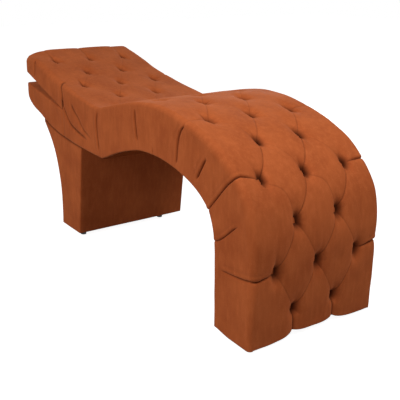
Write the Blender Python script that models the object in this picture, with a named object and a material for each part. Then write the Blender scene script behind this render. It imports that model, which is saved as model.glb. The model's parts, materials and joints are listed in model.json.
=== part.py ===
"""A wave-shaped, deep-buttoned treatment bed with a headrest that tilts on ratchet hinges.

X runs along the bed, with the foot end at +X. Y runs across it, with the near side at -Y.
Z is up, and the glides stand on Z = 0. Outlines are drawn in the XZ plane as (x, z) pairs.
"""

import math

import bmesh
import bpy
from mathutils import Matrix, Vector

# Overall sizes
LENGTH = 1.90
WIDTH = 0.60
BED_HEIGHT = 0.772
SLAB_THICKNESS = 0.199
FOOT_THICKNESS = 0.205
GROUND_CLEARANCE = 0.020
GAP = 0.0003

# Headrest
HEADREST_LENGTH = 0.440
HEADREST_TILT = math.radians(17.3)
HEADREST_THICKNESS = 0.119
HEADREST_TIP_THICKNESS = 0.097
HEADREST_CORNER = 0.048
HEADREST_LEAN = math.radians(44)
HEADREST_SINK = 0.003
HEADREST_SETBACK = 0.009
BASE_TILT = math.radians(10.5)
BASE_DROP = 0.0015
HINGE_CLEARANCE = 0.018
FACE_RUN = 0.170
KNUCKLE_CLEARANCE = 0.0045
LID_CLEARANCE = 0.009
FOLD_CLEARANCE = 0.004

# Upholstery
COVER_THICKNESS = 0.030
FOAM_THICKNESS = 0.030
SIDE_COVER_THICKNESS = 0.012
LINING_THICKNESS = 0.004
DUST_CLOTH_THICKNESS = 0.002
TUFT_PITCH = 0.1706
TUFT_SPACING = 0.097
TUFT_PIT = 0.016
TUFT_CREASE = 0.006
TUFT_CROWN = 0.009
FIRST_TUFT_ROW = 0.017
HEADREST_ROW_SHIFT = -0.0305
BUTTON_RADIUS = 0.010
BUTTON_HEIGHT = 0.003
EDGE_RADIUS = 0.022
OUTER_COLUMN = 2
CREASE_POWER = 0.5
PILLOW_POWER = 0.6

# Frame
PANEL_THICKNESS = 0.018
RIB_THICKNESS = 0.015
DECK_THICKNESS = 0.006
BOARD_THICKNESS = 0.006
BASE_TOP_THICKNESS = 0.012
RAIL_WIDTH = 0.034
RAIL_DEPTH = 0.045
CLEAT_DEPTH = 0.026
CLEAT_WIDTH = 0.044
FOOT_BOARD_THICKNESS = 0.018
BASE_RAIL_SETBACK = 0.280
BOARD_JOIN_SETBACK = 0.088

# Pedestal
PEDESTAL_REACH = 0.1051
PEDESTAL_FRONT_LEAN = math.radians(8.7)
PEDESTAL_DEPTH = 0.190
PEDESTAL_SIDE_INSET = 0.006
PEDESTAL_PANEL_THICKNESS = 0.015
PEDESTAL_FRONT_THICKNESS = 0.012
PEDESTAL_TOP_THICKNESS = 0.015
PEDESTAL_BOTTOM_THICKNESS = 0.015
BOLT_RADIUS = 0.004
BOLT_LENGTH = 0.046
BOLT_HEAD_RADIUS = 0.0075
BOLT_HEAD_HEIGHT = 0.0055
BOLT_FRONT_INSET = 0.062
BOLT_BACK_INSET = 0.100
BOLT_SIDE_INSET = 0.110

# Glides
GLIDE_RADIUS = 0.014
GLIDE_RIM_HEIGHT = 0.006
GLIDE_STEM_RADIUS = 0.0035
GLIDE_STEM_LENGTH = 0.012
GLIDE_PAD_RADIUS = 0.009
FOOT_GLIDE_OUTER_INSET = 0.059
FOOT_GLIDE_INNER_INSET = 0.022
FOOT_GLIDE_SIDE_INSET = 0.032
PEDESTAL_GLIDE_FRONT_INSET = 0.028
PEDESTAL_GLIDE_BACK_INSET = 0.027
PEDESTAL_GLIDE_NEAR_INSET = 0.038
PEDESTAL_GLIDE_FAR_INSET = 0.115

# Ratchet hinges
STRAP_THICKNESS = 0.003
STRAP_HEIGHT = 0.020
ARM_LENGTH = 0.170
PLATE_LENGTH = 0.130
PLATE_FALL = math.radians(38)
KNUCKLE_RADIUS = 0.014
KNUCKLE_START = math.radians(110)
TOOTH_TIP_RADIUS = 0.0165
TOOTH_ROOT_RADIUS = 0.0140
TOOTH_PITCH = math.radians(10)
PIN_RADIUS = 0.005
PIN_HEAD_RADIUS = 0.009
PIN_HEAD_HEIGHT = 0.0025
PAWL_REACH = 0.034
PAWL_LIFT = 0.012
PAWL_HUB_RADIUS = 0.006
PAWL_TIP_WIDTH = 0.004
PAWL_PIVOT_RADIUS = 0.0025
BEARER_WIDTH = 0.020
BEARER_DEPTH = 0.025
HEADREST_BOARD_THICKNESS = 0.009

# Resolution
CUTS_PER_TUFT = 3
LINE_STEPS = 2
FINE_STEPS = 16
ROUND_SIDES = 12
HUB_STEPS = 8
CORNER_STEPS = 4
FOLD_STEPS = 3
SHARP_ANGLE = math.radians(35)
OVERRUN = 0.010

# The surface line of the bed from the headrest to the foot, in shares of the length and the height
TOP_LINE_SHARES = [
    (-0.221, 0.942), (-0.187, 0.926), (-0.147, 0.910), (-0.104, 0.894), (-0.074, 0.892),
    (-0.043, 0.911), (0.011, 0.943), (0.068, 0.974), (0.113, 0.991), (0.163, 1.000),
    (0.216, 0.995), (0.268, 0.974), (0.321, 0.942), (0.368, 0.899), (0.416, 0.836),
    (0.455, 0.753), (0.4805, 0.658), (0.4925, 0.550), (0.4968, 0.440), (0.4960, 0.324),
    (0.4928, 0.168),
]
TOP_START_HEIGHT_SHARE = 0.9625
FOOT_FRONT_SHARE = 0.4900

# The arch from the foot to the dip, in shares of the length and of the arch's height
ARCH_LINE_SHARES = [
    (0.382, 0.349), (0.381, 0.558), (0.3725, 0.707), (0.353, 0.813), (0.321, 0.892),
    (0.273, 0.951), (0.204, 0.996), (0.133, 1.000), (0.082, 0.974), (0.016, 0.911),
    (-0.040, 0.840), (-0.062, 0.814), (-0.078, 0.812),
]
# The underside from the dip to the head end's nose, in the same shares
BASE_LINE_SHARES = [
    (-0.130, 0.817), (-0.189, 0.829), (-0.288, 0.859), (-0.363, 0.909), (-0.425, 0.974),
    (-0.474, 1.028), (-0.4945, 1.080), (-0.5005, 1.143),
]
NOSE_TOP_SHARE = -0.4980

# Where the rails under the deck lie, in shares of the surface line
RAIL_PLACE_SHARES = [0.030, 0.185, 0.420, 0.560, 0.690, 0.840]
RAILS = ("hinge_rail", "valley_rail", "hump_rail", "shoulder_rail", "knee_rail", "foot_rail")

# The pedestal's height at its back, in shares of the arch's height
PEDESTAL_HEIGHT_SHARE = 0.909
# The pedestal's back edge: how far it runs back of its foot, in shares of its depth and height
PEDESTAL_BACK_SHARES = [
    (0.00, 0.00), (-0.04, 0.23), (-0.03, 0.42), (0.07, 0.60), (0.25, 0.77), (0.54, 0.92),
    (0.88, 1.045), (1.15, 1.14),
]

# How high the padding stands across the outer band, from the last button to the edge
EDGE_BAND_SHARES = [(0.40, 1.0), (0.72, 0.9)]

# A button's crown, in shares of its radius and height
BUTTON_CROWN_SHARES = (0.8, 1.5)
# Half a ratchet tooth's tip, and how near two cuts of the headrest's pad may lie, in pitches
TOOTH_TIP_SHARE = 0.1
SLIVER_SHARE = 0.25

RUST_SUEDE = (0.376, 0.092, 0.030, 1)
DARK_SUEDE = (0.270, 0.066, 0.022, 1)
BIRCH_PLY = (0.560, 0.390, 0.220, 1)
PINE = (0.620, 0.430, 0.240, 1)
PALE_FOAM = (0.800, 0.740, 0.560, 1)
BLACK_CLOTH = (0.020, 0.020, 0.022, 1)
ZINC_STEEL = (0.560, 0.570, 0.590, 1)
BLACK_PLASTIC = (0.015, 0.014, 0.014, 1)


def material(name, colour, roughness, metallic=0.0):
    made = bpy.data.materials.new(name)
    made.use_nodes = True
    shader = made.node_tree.nodes["Principled BSDF"]
    shader.inputs["Base Color"].default_value = colour
    shader.inputs["Roughness"].default_value = roughness
    shader.inputs["Metallic"].default_value = metallic
    return made


class Line:
    """A run of points with outward directions, which layers of upholstery and frame follow."""

    def __init__(self, points, directions=None):
        self.points = [Vector(p) for p in points]
        self.directions = directions or [self.outward(i) for i in range(len(self.points))]
        self.lengths = [0.0]
        for a, b in zip(self.points, self.points[1:]):
            self.lengths.append(self.lengths[-1] + (b - a).length)

    def outward(self, index):
        before = self.points[max(index - 1, 0)]
        after = self.points[min(index + 1, len(self.points) - 1)]
        along = (after - before).normalized()
        return Vector((-along.y, along.x))

    def layer(self, depth):
        return [p - n * depth for p, n in zip(self.points, self.directions)]

    def at(self, length, depth=0.0):
        layer = self.layer(depth)
        for i in range(len(layer) - 1):
            if length <= self.lengths[i + 1] or i == len(layer) - 2:
                span = self.lengths[i + 1] - self.lengths[i]
                return layer[i].lerp(layer[i + 1], (length - self.lengths[i]) / span)

    def slice(self, depth, start, end):
        inner = [p for p, s in zip(self.layer(depth), self.lengths) if start + GAP < s < end - GAP]
        return [self.at(start, depth), *inner, self.at(end, depth)]

    def length_at_x(self, x):
        for i, (a, b) in enumerate(zip(self.points, self.points[1:])):
            if min(a.x, b.x) <= x <= max(a.x, b.x) and a.x != b.x:
                return self.lengths[i] + (b - a).length * (x - a.x) / (b.x - a.x)


def smooth(points, steps):
    """A curve through every point, with its tangent at each set by the neighbours."""
    ends = [2 * Vector(points[0]) - Vector(points[1]), 2 * Vector(points[-1]) - Vector(points[-2])]
    knots = [ends[0], *[Vector(p) for p in points], ends[1]]
    made = []
    for p0, p1, p2, p3 in zip(knots, knots[1:], knots[2:], knots[3:]):
        for k in range(steps):
            t = k / steps
            bend = (2 * p0 - 5 * p1 + 4 * p2 - p3) * t * t + (3 * p1 - p0 - 3 * p2 + p3) * t**3
            made.append((2 * p1 + (p2 - p0) * t + bend) / 2)
    return [*made, Vector(points[-1])]


def crossing(a, b, c, d):
    """Where the line through a and b meets the line through c and d."""
    ab = b - a
    cd = d - c
    return a + ab * ((c - a).cross(cd) / ab.cross(cd))


def height_at(run, x):
    """The height of a run of points at x."""
    for a, b in zip(run, run[1:]):
        if min(a.x, b.x) <= x <= max(a.x, b.x) and a.x != b.x:
            return a.y + (b.y - a.y) * (x - a.x) / (b.x - a.x)


def meet(first, second):
    """The first crossing of two runs of points, as (index in first, index in second, point)."""
    for i, (a, b) in enumerate(zip(first, first[1:])):
        for j, (c, d) in enumerate(zip(second, second[1:])):
            if abs((b - a).cross(d - c)) == 0:
                continue
            point = crossing(a, b, c, d)
            on_first = 0 <= (point - a).dot(b - a) <= (b - a).length_squared
            on_second = 0 <= (point - c).dot(d - c) <= (d - c).length_squared
            if on_first and on_second:
                return i, j, point


def finish(name, bm, finish_material, parent=None, smooth_shade=False):
    bmesh.ops.recalc_face_normals(bm, faces=bm.faces)
    mesh = bpy.data.meshes.new(name)
    bm.to_mesh(mesh)
    bm.free()
    if smooth_shade:
        mesh.shade_smooth()
        mesh.set_sharp_from_angle(angle=SHARP_ANGLE)
    made = bpy.data.objects.new(name, mesh)
    bpy.context.scene.collection.objects.link(made)
    made.data.materials.append(finish_material)
    made.parent = parent
    return made


def join_rings(bm, rings):
    """Faces from each ring of vertices to the next, with the first and the last ring closed."""
    for ring, after in zip(rings, rings[1:]):
        for k in range(len(ring)):
            j = (k + 1) % len(ring)
            bm.faces.new((ring[k], ring[j], after[j], after[k]))
    bm.faces.new(rings[0])
    bm.faces.new(rings[-1][::-1])


def add_prism(bm, outline, low, high):
    join_rings(bm, [[bm.verts.new((x, y, z)) for x, z in outline] for y in (low, high)])


def prism(name, outline, low, high, finish_material, parent=None):
    """An outline in XZ carried across the bed from low to high Y."""
    bm = bmesh.new()
    add_prism(bm, outline, min(low, high), max(low, high))
    return finish(name, bm, finish_material, parent)


def ribbon(name, outer, inner, half_width, finish_material, parent=None):
    """A bent sheet between two runs of points that have as many points each."""
    bm = bmesh.new()
    rings = []
    for o, i in zip(outer, inner):
        corners = ((o, -half_width), (o, half_width), (i, half_width), (i, -half_width))
        rings.append([bm.verts.new((p.x, y, p.y)) for p, y in corners])
    join_rings(bm, rings)
    return finish(name, bm, finish_material, parent)


def add_cylinder(bm, centre, radius, low, high, axis="Z", sides=ROUND_SIDES):
    """A round bar along one axis, from low to high on it."""
    turn = {"Z": Matrix.Identity(4), "Y": Matrix.Rotation(-math.pi / 2, 4, "X")}[axis]
    place = Matrix.Translation(centre) @ turn @ Matrix.Translation((0, 0, (low + high) / 2))
    bmesh.ops.create_cone(
        bm,
        cap_ends=True,
        segments=sides,
        radius1=radius,
        radius2=radius,
        depth=high - low,
        matrix=place,
    )


def turned(name, profile, centre, axis, finish_material, parent=None):
    """A solid of revolution: profile pairs are (radius, height), from one end to the other."""
    bm = bmesh.new()
    rings = []
    for radius, height in profile:
        angles = [2 * math.pi * k / ROUND_SIDES for k in range(ROUND_SIDES)]
        spots = [(radius * math.cos(a), radius * math.sin(a), height) for a in angles]
        rings.append([bm.verts.new(s) for s in spots])
    join_rings(bm, rings)
    made = finish(name, bm, finish_material, parent, smooth_shade=True)
    made.location = centre
    if axis != "Z":
        made.rotation_euler = (axis * math.pi / 2, 0, 0)
    return made


def cutter(name, fill, parent=None):
    """A hidden shape that others are cut with; fill adds its closed pieces to a mesh."""
    bm = bmesh.new()
    fill(bm)
    made = finish(name, bm, STEEL, parent)
    made.hide_render = True
    made.display_type = "WIRE"
    return made


def cut(piece, tool, operation="DIFFERENCE"):
    modifier = piece.modifiers.new(tool.name, "BOOLEAN")
    modifier.operation = operation
    modifier.object = tool
    modifier.solver = "EXACT"


def tuft_height(row, column):
    """Height of the deep-buttoned surface, with row and column in tuft spacings.

    Buttons sit where row and column are whole and their sum is even; creases join them.
    """
    if abs(column) > OUTER_COLUMN:
        swell = abs(math.sin(math.pi * row / 2)) ** CREASE_POWER
        return (TUFT_CREASE + TUFT_CROWN) * swell - TUFT_CREASE
    across = (row + column) / 2
    along = (row - column) / 2
    off_across = abs(across - round(across))
    off_along = abs(along - round(along))
    from_button = math.sin(math.pi * max(off_across, off_along)) ** CREASE_POWER
    pillow = (math.sin(math.pi * off_across) * math.sin(math.pi * off_along)) ** PILLOW_POWER
    crease = (TUFT_PIT - TUFT_CREASE) * from_button - TUFT_PIT
    return crease + (TUFT_CREASE + TUFT_CROWN) * pillow


def tuft_section(row, half_width):
    """The padded section across the bed at a row: (y, height, column) from near to far."""
    last = OUTER_COLUMN * TUFT_SPACING
    half = []
    for k in range(OUTER_COLUMN * CUTS_PER_TUFT + 1):
        column = k / CUTS_PER_TUFT
        half.append((column * TUFT_SPACING, tuft_height(row, column), column))
    flat_end = half_width - EDGE_RADIUS
    for share, rise in EDGE_BAND_SHARES:
        y = last + share * (half_width - last)
        half.append((min(y, flat_end), rise * tuft_height(row, OUTER_COLUMN + 1), None))
    corner = EDGE_RADIUS * (1 - math.sqrt(0.5))
    half.append((half_width - corner, -corner, None))
    half.append((half_width, -EDGE_RADIUS, None))
    return [(-y, h, None if c is None else -c) for y, h, c in half[:0:-1]] + half


def tufted(name, stations, finish_material, parent=None):
    """A deep-buttoned pad. Each station is (surface point, seat point, row, half width)."""
    bm = bmesh.new()
    rings = []
    pits = []
    for surface, seat, row, half_width in stations:
        up = (surface - seat).normalized()
        ring = []
        for y, height, column in tuft_section(row, half_width):
            spot = surface + up * height
            ring.append(bm.verts.new((spot.x, y, spot.y)))
            if column is not None and rings and is_button(row, column):
                pits.append(ring[-1])
        for y in (half_width, -half_width):
            ring.append(bm.verts.new((seat.x, y, seat.y)))
        rings.append(ring)
    join_rings(bm, rings)
    columns = [column for _, _, column in tuft_section(0, HALF_WIDTH)]
    rows = [row for _, _, row, _ in stations]
    split_along_creases(bm, rings, rows, columns)
    bmesh.ops.recalc_face_normals(bm, faces=bm.faces)
    split_round_pits(pits)
    for pit in pits:
        raise_button(bm, pit)
    return finish(name, bm, finish_material, parent, smooth_shade=True)


def is_button(row, column):
    nearest = (round(row), round(column))
    off = max(abs(row - nearest[0]), abs(column - nearest[1]))
    return off < SLIVER_SHARE / CUTS_PER_TUFT and sum(nearest) % 2 == 0


def split_along_creases(bm, rings, rows, columns):
    """Divides the faces between buttons along the direction of the crease that crosses them."""
    for ring, after, row, next_row in zip(rings, rings[1:], rows, rows[1:]):
        for k, (column, next_column) in enumerate(zip(columns, columns[1:])):
            if column is None or next_column is None:
                continue
            corners = (ring[k], ring[k + 1], after[k + 1], after[k])
            face = next(f for f in ring[k].link_faces if set(corners) == set(f.verts))
            cell = math.floor((row + next_row) / 2) + math.floor((column + next_column) / 2)
            bmesh.utils.face_split(face, corners[cell % 2], corners[cell % 2 + 2])


def split_round_pits(pits):
    """Divides the outer faces around each pit with an edge from the pit."""
    wanted = set(pits)
    for pit in pits:
        for face in list(pit.link_faces):
            if len(face.verts) != 4:
                continue
            corners = list(face.verts)
            across = corners[(corners.index(pit) + 2) % 4]
            if across not in wanted:
                bmesh.utils.face_split(face, pit, across)


def raise_button(bm, pit):
    """Turns the bottom of a pit into a covered button."""
    up = Vector(pit.normal)
    middle = Vector(pit.co)
    cut_back = bmesh.ops.bevel(
        bm,
        geom=[pit],
        offset=BUTTON_RADIUS,
        offset_type="OFFSET",
        segments=1,
        affect="VERTICES",
    )
    seat = max(cut_back["faces"], key=lambda f: len(f.verts))
    for vert in seat.verts:
        away = vert.co - middle
        away -= up * away.dot(up)
        vert.co = middle + away.normalized() * BUTTON_RADIUS + up * BUTTON_HEIGHT
    width, height = BUTTON_CROWN_SHARES
    grown = bmesh.ops.extrude_discrete_faces(bm, faces=[seat])["faces"][0]
    for vert in grown.verts:
        vert.co = middle + (vert.co - middle) * width + up * BUTTON_HEIGHT * height


# The empty scene
for existing in list(bpy.data.objects):
    bpy.data.objects.remove(existing)

SUEDE = material("rust_suede", RUST_SUEDE, 0.85)
LINING = material("lining_suede", DARK_SUEDE, 0.9)
PLY = material("birch_plywood", BIRCH_PLY, 0.6)
TIMBER = material("pine", PINE, 0.65)
FOAM = material("pale_foam", PALE_FOAM, 0.95)
CLOTH = material("black_cloth", BLACK_CLOTH, 0.95)
STEEL = material("zinc_steel", ZINC_STEEL, 0.35, 1.0)
PLASTIC = material("black_plastic", BLACK_PLASTIC, 0.45)

HALF_WIDTH = WIDTH / 2
NOSE_X = NOSE_TOP_SHARE * LENGTH
HINGE_X = NOSE_X + HEADREST_SETBACK + HEADREST_LENGTH * math.cos(HEADREST_TILT)
HINGE_Z = TOP_START_HEIGHT_SHARE * BED_HEIGHT - HEADREST_THICKNESS - HEADREST_SINK
HINGE = Vector((HINGE_X, HINGE_Z))
FACE_X = HINGE_X + HINGE_CLEARANCE
FOOT_FRONT_X = FOOT_FRONT_SHARE * LENGTH
FOOT_BACK_X = FOOT_FRONT_X - FOOT_THICKNESS
PEDESTAL_FRONT_FOOT_X = HINGE_X + PEDESTAL_REACH
PEDESTAL_BACK_FOOT_X = PEDESTAL_FRONT_FOOT_X - PEDESTAL_DEPTH
PEDESTAL_HALF = HALF_WIDTH - PEDESTAL_SIDE_INSET
ARCH_HEIGHT = BED_HEIGHT - SLAB_THICKNESS
SIDES = (("near", -1), ("far", 1))

# Depths of each layer under the surface
FOAM_TOP = COVER_THICKNESS + GAP
DECK_TOP = FOAM_TOP + FOAM_THICKNESS + GAP
FRAME_TOP = DECK_TOP + DECK_THICKNESS + GAP
BOARD_FACE = LINING_THICKNESS + GAP
FRAME_UNDER = BOARD_FACE + BOARD_THICKNESS + GAP
BASE_FRAME_TOP = BOARD_FACE + BASE_TOP_THICKNESS + GAP
INNER_HALF = HALF_WIDTH - SIDE_COVER_THICKNESS - GAP
PANEL_INNER = INNER_HALF - PANEL_THICKNESS
RAIL_HALF = PANEL_INNER - GAP


def top_line():
    """The bed's surface from the headrest's hinge to the foot, with a point at every tuft cut.

    Its layers lie upright at the hinge, and turn to their own directions over the face run.
    """
    start = (FACE_X, TOP_START_HEIGHT_SHARE * BED_HEIGHT)
    foot = (FOOT_FRONT_X, GROUND_CLEARANCE)
    wave = [(x * LENGTH, z * BED_HEIGHT) for x, z in TOP_LINE_SHARES]
    wave = [p for p in wave if p[0] > FACE_X + HEADREST_CORNER]
    fine = Line(smooth([start, *wave, foot], FINE_STEPS))
    step = TUFT_PITCH / CUTS_PER_TUFT
    total = fine.lengths[-1]
    places = [0.0]
    reach = FIRST_TUFT_ROW
    while reach < total - step / 2:
        places.append(reach)
        reach += step
    places.append(total)
    points = [fine.at(s) for s in places]
    line = Line(points)
    upright = Vector((0, 1))
    for i, s in enumerate(places):
        turned_share = min(s / FACE_RUN, 1)
        line.directions[i] = upright.slerp(line.directions[i], turned_share)
    line.directions[-1] = Vector((1, 0))
    rows = [(s - FIRST_TUFT_ROW) / TUFT_PITCH for s in places]
    return line, rows


def under_line():
    """The underside from the foot's inner edge, over the arch and round the head end's nose."""
    arch = [(x * LENGTH, z * ARCH_HEIGHT) for x, z in ARCH_LINE_SHARES]
    base = [(x * LENGTH, z * ARCH_HEIGHT) for x, z in BASE_LINE_SHARES]
    nose = base_top_point(NOSE_X)
    line = Line(smooth([(FOOT_BACK_X, GROUND_CLEARANCE), *arch, *base, nose], LINE_STEPS))
    line.directions[0] = Vector((-1, 0))
    line.directions[-1] = Vector((-math.cos(BASE_TILT), math.sin(BASE_TILT)))
    return line


def base_top_z(x, depth=0.0):
    """Height of the fixed base's upper face, under the headrest, at a depth below it."""
    rise = (HINGE_X - x) * math.tan(BASE_TILT)
    return HINGE_Z - BASE_DROP - depth / math.cos(BASE_TILT) + rise


def base_top_point(x, depth=0.0):
    return Vector((x, base_top_z(x, depth)))


TOP, TOP_ROWS = top_line()
UNDER = under_line()


def nose_run(depth, top_depth):
    """The underside layer at a depth, ended where it meets the base's upper layer."""
    run = UNDER.layer(depth)
    lid = (base_top_point(HINGE_X, top_depth), base_top_point(NOSE_X, top_depth))
    while len(run) > 2 and run[-2].y > base_top_z(run[-2].x, top_depth):
        run.pop()
    run[-1] = crossing(run[-2], run[-1], *lid)
    return run


def body_outline(top_depth, under_depth, lid_depth, bottom):
    """The side outline of the bed's fixed part, with each face set in by its own depth."""
    floor = (Vector((0, bottom)), Vector((LENGTH, bottom)))
    top = [p for p in TOP.layer(top_depth) if p.y > bottom + GAP]
    toe = crossing(*TOP.layer(top_depth)[-2:], *floor)
    under = nose_run(under_depth, lid_depth)
    heel = crossing(under[0], under[1], *floor)
    under = [p for p in under if p.y > bottom + GAP or p.x < FACE_X]
    hinge_floor = Vector((FACE_X, HINGE_Z - lid_depth - BASE_DROP))
    return [*top, toe, heel, *under, base_top_point(HINGE_X, lid_depth), hinge_floor]


def seat_upholstery():
    stations = []
    for point, direction, row in zip(TOP.points, TOP.directions, TOP_ROWS):
        stations.append((point, point - direction * COVER_THICKNESS, row, HALF_WIDTH))
    tufted("main_cover", stations, SUEDE)
    end = TOP.lengths[-1] - FOOT_BOARD_THICKNESS - DUST_CLOTH_THICKNESS - 2 * GAP
    for name, top, thickness, made_of in (
        ("main_foam", FOAM_TOP, FOAM_THICKNESS, FOAM),
        ("seat_deck", DECK_TOP, DECK_THICKNESS, PLY),
    ):
        outer = TOP.slice(top, 0.0, end)
        inner = TOP.slice(top + thickness, 0.0, end)
        ribbon(name, outer, inner, INNER_HALF, made_of)


def side_covers():
    outline = body_outline(FOAM_TOP, 0.0, 0.0, GROUND_CLEARANCE)
    for side, sign in SIDES:
        prism(f"side_cover_{side}", outline, sign * (INNER_HALF + GAP), sign * HALF_WIDTH, SUEDE)


def frame_outline():
    bottom = GROUND_CLEARANCE + DUST_CLOTH_THICKNESS + FOOT_BOARD_THICKNESS + 2 * GAP
    return body_outline(FRAME_TOP, FRAME_UNDER, BASE_FRAME_TOP, bottom)


def side_panels():
    for side, sign in SIDES:
        prism(f"side_panel_{side}", frame_outline(), sign * INNER_HALF, sign * PANEL_INNER, PLY)


def top_rail_outline(middle, grow=0.0):
    """A rail under the deck, its top planed to the deck's curve."""
    start = middle - RAIL_WIDTH / 2 - grow
    end = middle + RAIL_WIDTH / 2 + grow
    upper = TOP.slice(FRAME_TOP - 4 * grow, start, end)
    lower = TOP.slice(FRAME_TOP + RAIL_DEPTH + grow, start, end)
    return upper + lower[::-1]


def cleat_outline(x, grow=0.0):
    """A rail on the underside board, its foot planed to the board's curve."""
    middle = UNDER.length_at_x(x)
    start = middle - CLEAT_WIDTH / 2 - grow
    end = middle + CLEAT_WIDTH / 2 + grow
    lower = UNDER.slice(FRAME_UNDER - 4 * grow, start, end)
    upper = UNDER.slice(FRAME_UNDER + CLEAT_DEPTH + grow, start, end)
    return lower + upper[::-1]


def base_rail_outline(grow=0.0):
    """The rail under the base's top board, near the head end."""
    back = HINGE_X - BASE_RAIL_SETBACK
    spots = []
    for x, depth in (
        (back - RAIL_WIDTH - grow, BASE_FRAME_TOP - 4 * grow),
        (back + grow, BASE_FRAME_TOP - 4 * grow),
        (back + grow, BASE_FRAME_TOP + RAIL_DEPTH + grow),
        (back - RAIL_WIDTH - grow, BASE_FRAME_TOP + RAIL_DEPTH + grow),
    ):
        spots.append(base_top_point(x, depth))
    return spots


def bolt_places():
    """How far along the bed the pedestal's two rows of bolts lie."""
    top = pedestal_faces(0.0, 0.0, GAP, GROUND_CLEARANCE)[1]
    return top[0].x - BOLT_FRONT_INSET, top[-1].x + BOLT_BACK_INSET


def rails():
    run = TOP.lengths[-1]
    made = {}
    notches = []
    for name, share in zip(RAILS, RAIL_PLACE_SHARES):
        made[name] = prism(name, top_rail_outline(share * run), -RAIL_HALF, RAIL_HALF, TIMBER)
        notches.append(top_rail_outline(share * run, GAP))
    made["base_rail"] = prism("base_rail", base_rail_outline(), -RAIL_HALF, RAIL_HALF, TIMBER)
    notches.append(base_rail_outline(GAP))
    for name, x in zip(("cleat_front", "cleat_back"), bolt_places()):
        made[name] = prism(name, cleat_outline(x), -RAIL_HALF, RAIL_HALF, TIMBER)
        notches.append(cleat_outline(x, GAP))
    return made, notches


def centre_rib(notches):
    rib = prism("centre_rib", frame_outline(), -RIB_THICKNESS / 2, RIB_THICKNESS / 2, PLY)

    def fill(bm):
        for outline in notches:
            add_prism(bm, outline, -RIB_THICKNESS, RIB_THICKNESS)

    cut(rib, cutter("rib_notches", fill))


def underside():
    """The linings and boards below the slab, joined over the pedestal."""
    join = UNDER.length_at_x(PEDESTAL_FRONT_FOOT_X - BOARD_JOIN_SETBACK)
    above_foot = FOOT_BOARD_THICKNESS + DUST_CLOTH_THICKNESS + 2 * GAP
    made = {}
    for name, outer, inner, start, made_of in (
        ("arch_cover", 0.0, LINING_THICKNESS, 0.0, LINING),
        ("arch_board", BOARD_FACE, BOARD_FACE + BOARD_THICKNESS, above_foot, PLY),
    ):
        face = UNDER.slice(outer, start, join)
        back = UNDER.slice(inner, start, join)
        made[name] = ribbon(name, face, back, INNER_HALF, made_of)
    start = join + GAP
    near_hinge = HINGE_X - KNUCKLE_RADIUS - LID_CLEARANCE

    def wrapped(depth, lid_depth):
        run = nose_run(depth, lid_depth)
        kept = [p for p, s in zip(run, UNDER.lengths) if s > start + GAP]
        return [UNDER.at(start, depth), *kept]

    face = [*wrapped(0.0, 0.0), base_top_point(near_hinge)]
    back_end = base_top_point(near_hinge, LINING_THICKNESS)
    back = [*wrapped(LINING_THICKNESS, LINING_THICKNESS), back_end]
    made["base_cover"] = ribbon("base_cover", face, back, INNER_HALF, SUEDE)
    face = wrapped(BOARD_FACE, BOARD_FACE)
    back = wrapped(BOARD_FACE + BOARD_THICKNESS, BOARD_FACE)
    made["base_bottom_board"] = ribbon("base_bottom_board", face, back, INNER_HALF, PLY)
    nose = nose_run(FRAME_UNDER, BOARD_FACE)[-1]
    nose_low = nose_run(FRAME_UNDER, BOARD_FACE + BASE_TOP_THICKNESS)[-1]
    lid = [nose, base_top_point(near_hinge, BOARD_FACE)]
    lid_under = [nose_low, base_top_point(near_hinge, BOARD_FACE + BASE_TOP_THICKNESS)]
    made["base_top_board"] = ribbon("base_top_board", lid, lid_under, INNER_HALF, PLY)
    return made


def foot_end():
    """The board and dust cloth that close the foot."""
    outer_x = TOP.layer(FOAM_TOP)[-1].x
    inner_x = UNDER.layer(BOARD_FACE)[0].x
    low = GROUND_CLEARANCE
    made = []
    for name, thickness, made_of in (
        ("foot_dust_cloth", DUST_CLOTH_THICKNESS, CLOTH),
        ("foot_board", FOOT_BOARD_THICKNESS, PLY),
    ):
        high = low + thickness
        outline = [(inner_x, low), (outer_x, low), (outer_x, high), (inner_x, high)]
        made.append(prism(name, outline, -INNER_HALF, INNER_HALF, made_of))
        low = high + GAP
    return made


def pedestal_front(inset):
    """The pedestal's leaning front edge, from its foot up past the slab."""
    rise = BED_HEIGHT
    foot = Vector((PEDESTAL_FRONT_FOOT_X - inset / math.cos(PEDESTAL_FRONT_LEAN), 0))
    return [foot, foot + Vector((rise * math.tan(PEDESTAL_FRONT_LEAN), rise))]


def pedestal_back(inset):
    """The pedestal's curved back edge, from its foot up past the slab."""
    height = ARCH_HEIGHT * PEDESTAL_HEIGHT_SHARE
    spots = []
    for out, up in PEDESTAL_BACK_SHARES:
        spots.append((PEDESTAL_BACK_FOOT_X - out * PEDESTAL_DEPTH, up * height))
    run = Line(smooth(spots, LINE_STEPS))
    run.directions = [-d if d.x > 0 else d for d in run.directions]
    return run.layer(inset)


def pedestal_faces(inset_front, inset_back, drop, bottom):
    """The pedestal's side faces, set in from the front, the back and the slab.

    They are its front foot, its top edge from front to back, and its back edge down to the foot.
    """
    roof = UNDER.layer(-drop)
    front = pedestal_front(inset_front)
    back = pedestal_back(inset_back)
    at_front, _, front_top = meet(roof, front)
    at_back, back_index, back_top = meet(roof, back)
    floor = (Vector((0, bottom)), Vector((-LENGTH, bottom)))
    front_foot = crossing(*front, *floor)
    rising = [p for p in back[: back_index + 1] if p.y > bottom + GAP]
    back_foot = crossing(back[0], back[1], *floor)
    top = [front_top, *roof[at_front + 1 : at_back + 1], back_top]
    return front_foot, top, [*rising[::-1], back_foot]


def pedestal_outline(inset_front, inset_back, drop, bottom):
    front_foot, top, rise = pedestal_faces(inset_front, inset_back, drop, bottom)
    return [front_foot, *top, *rise]


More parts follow.
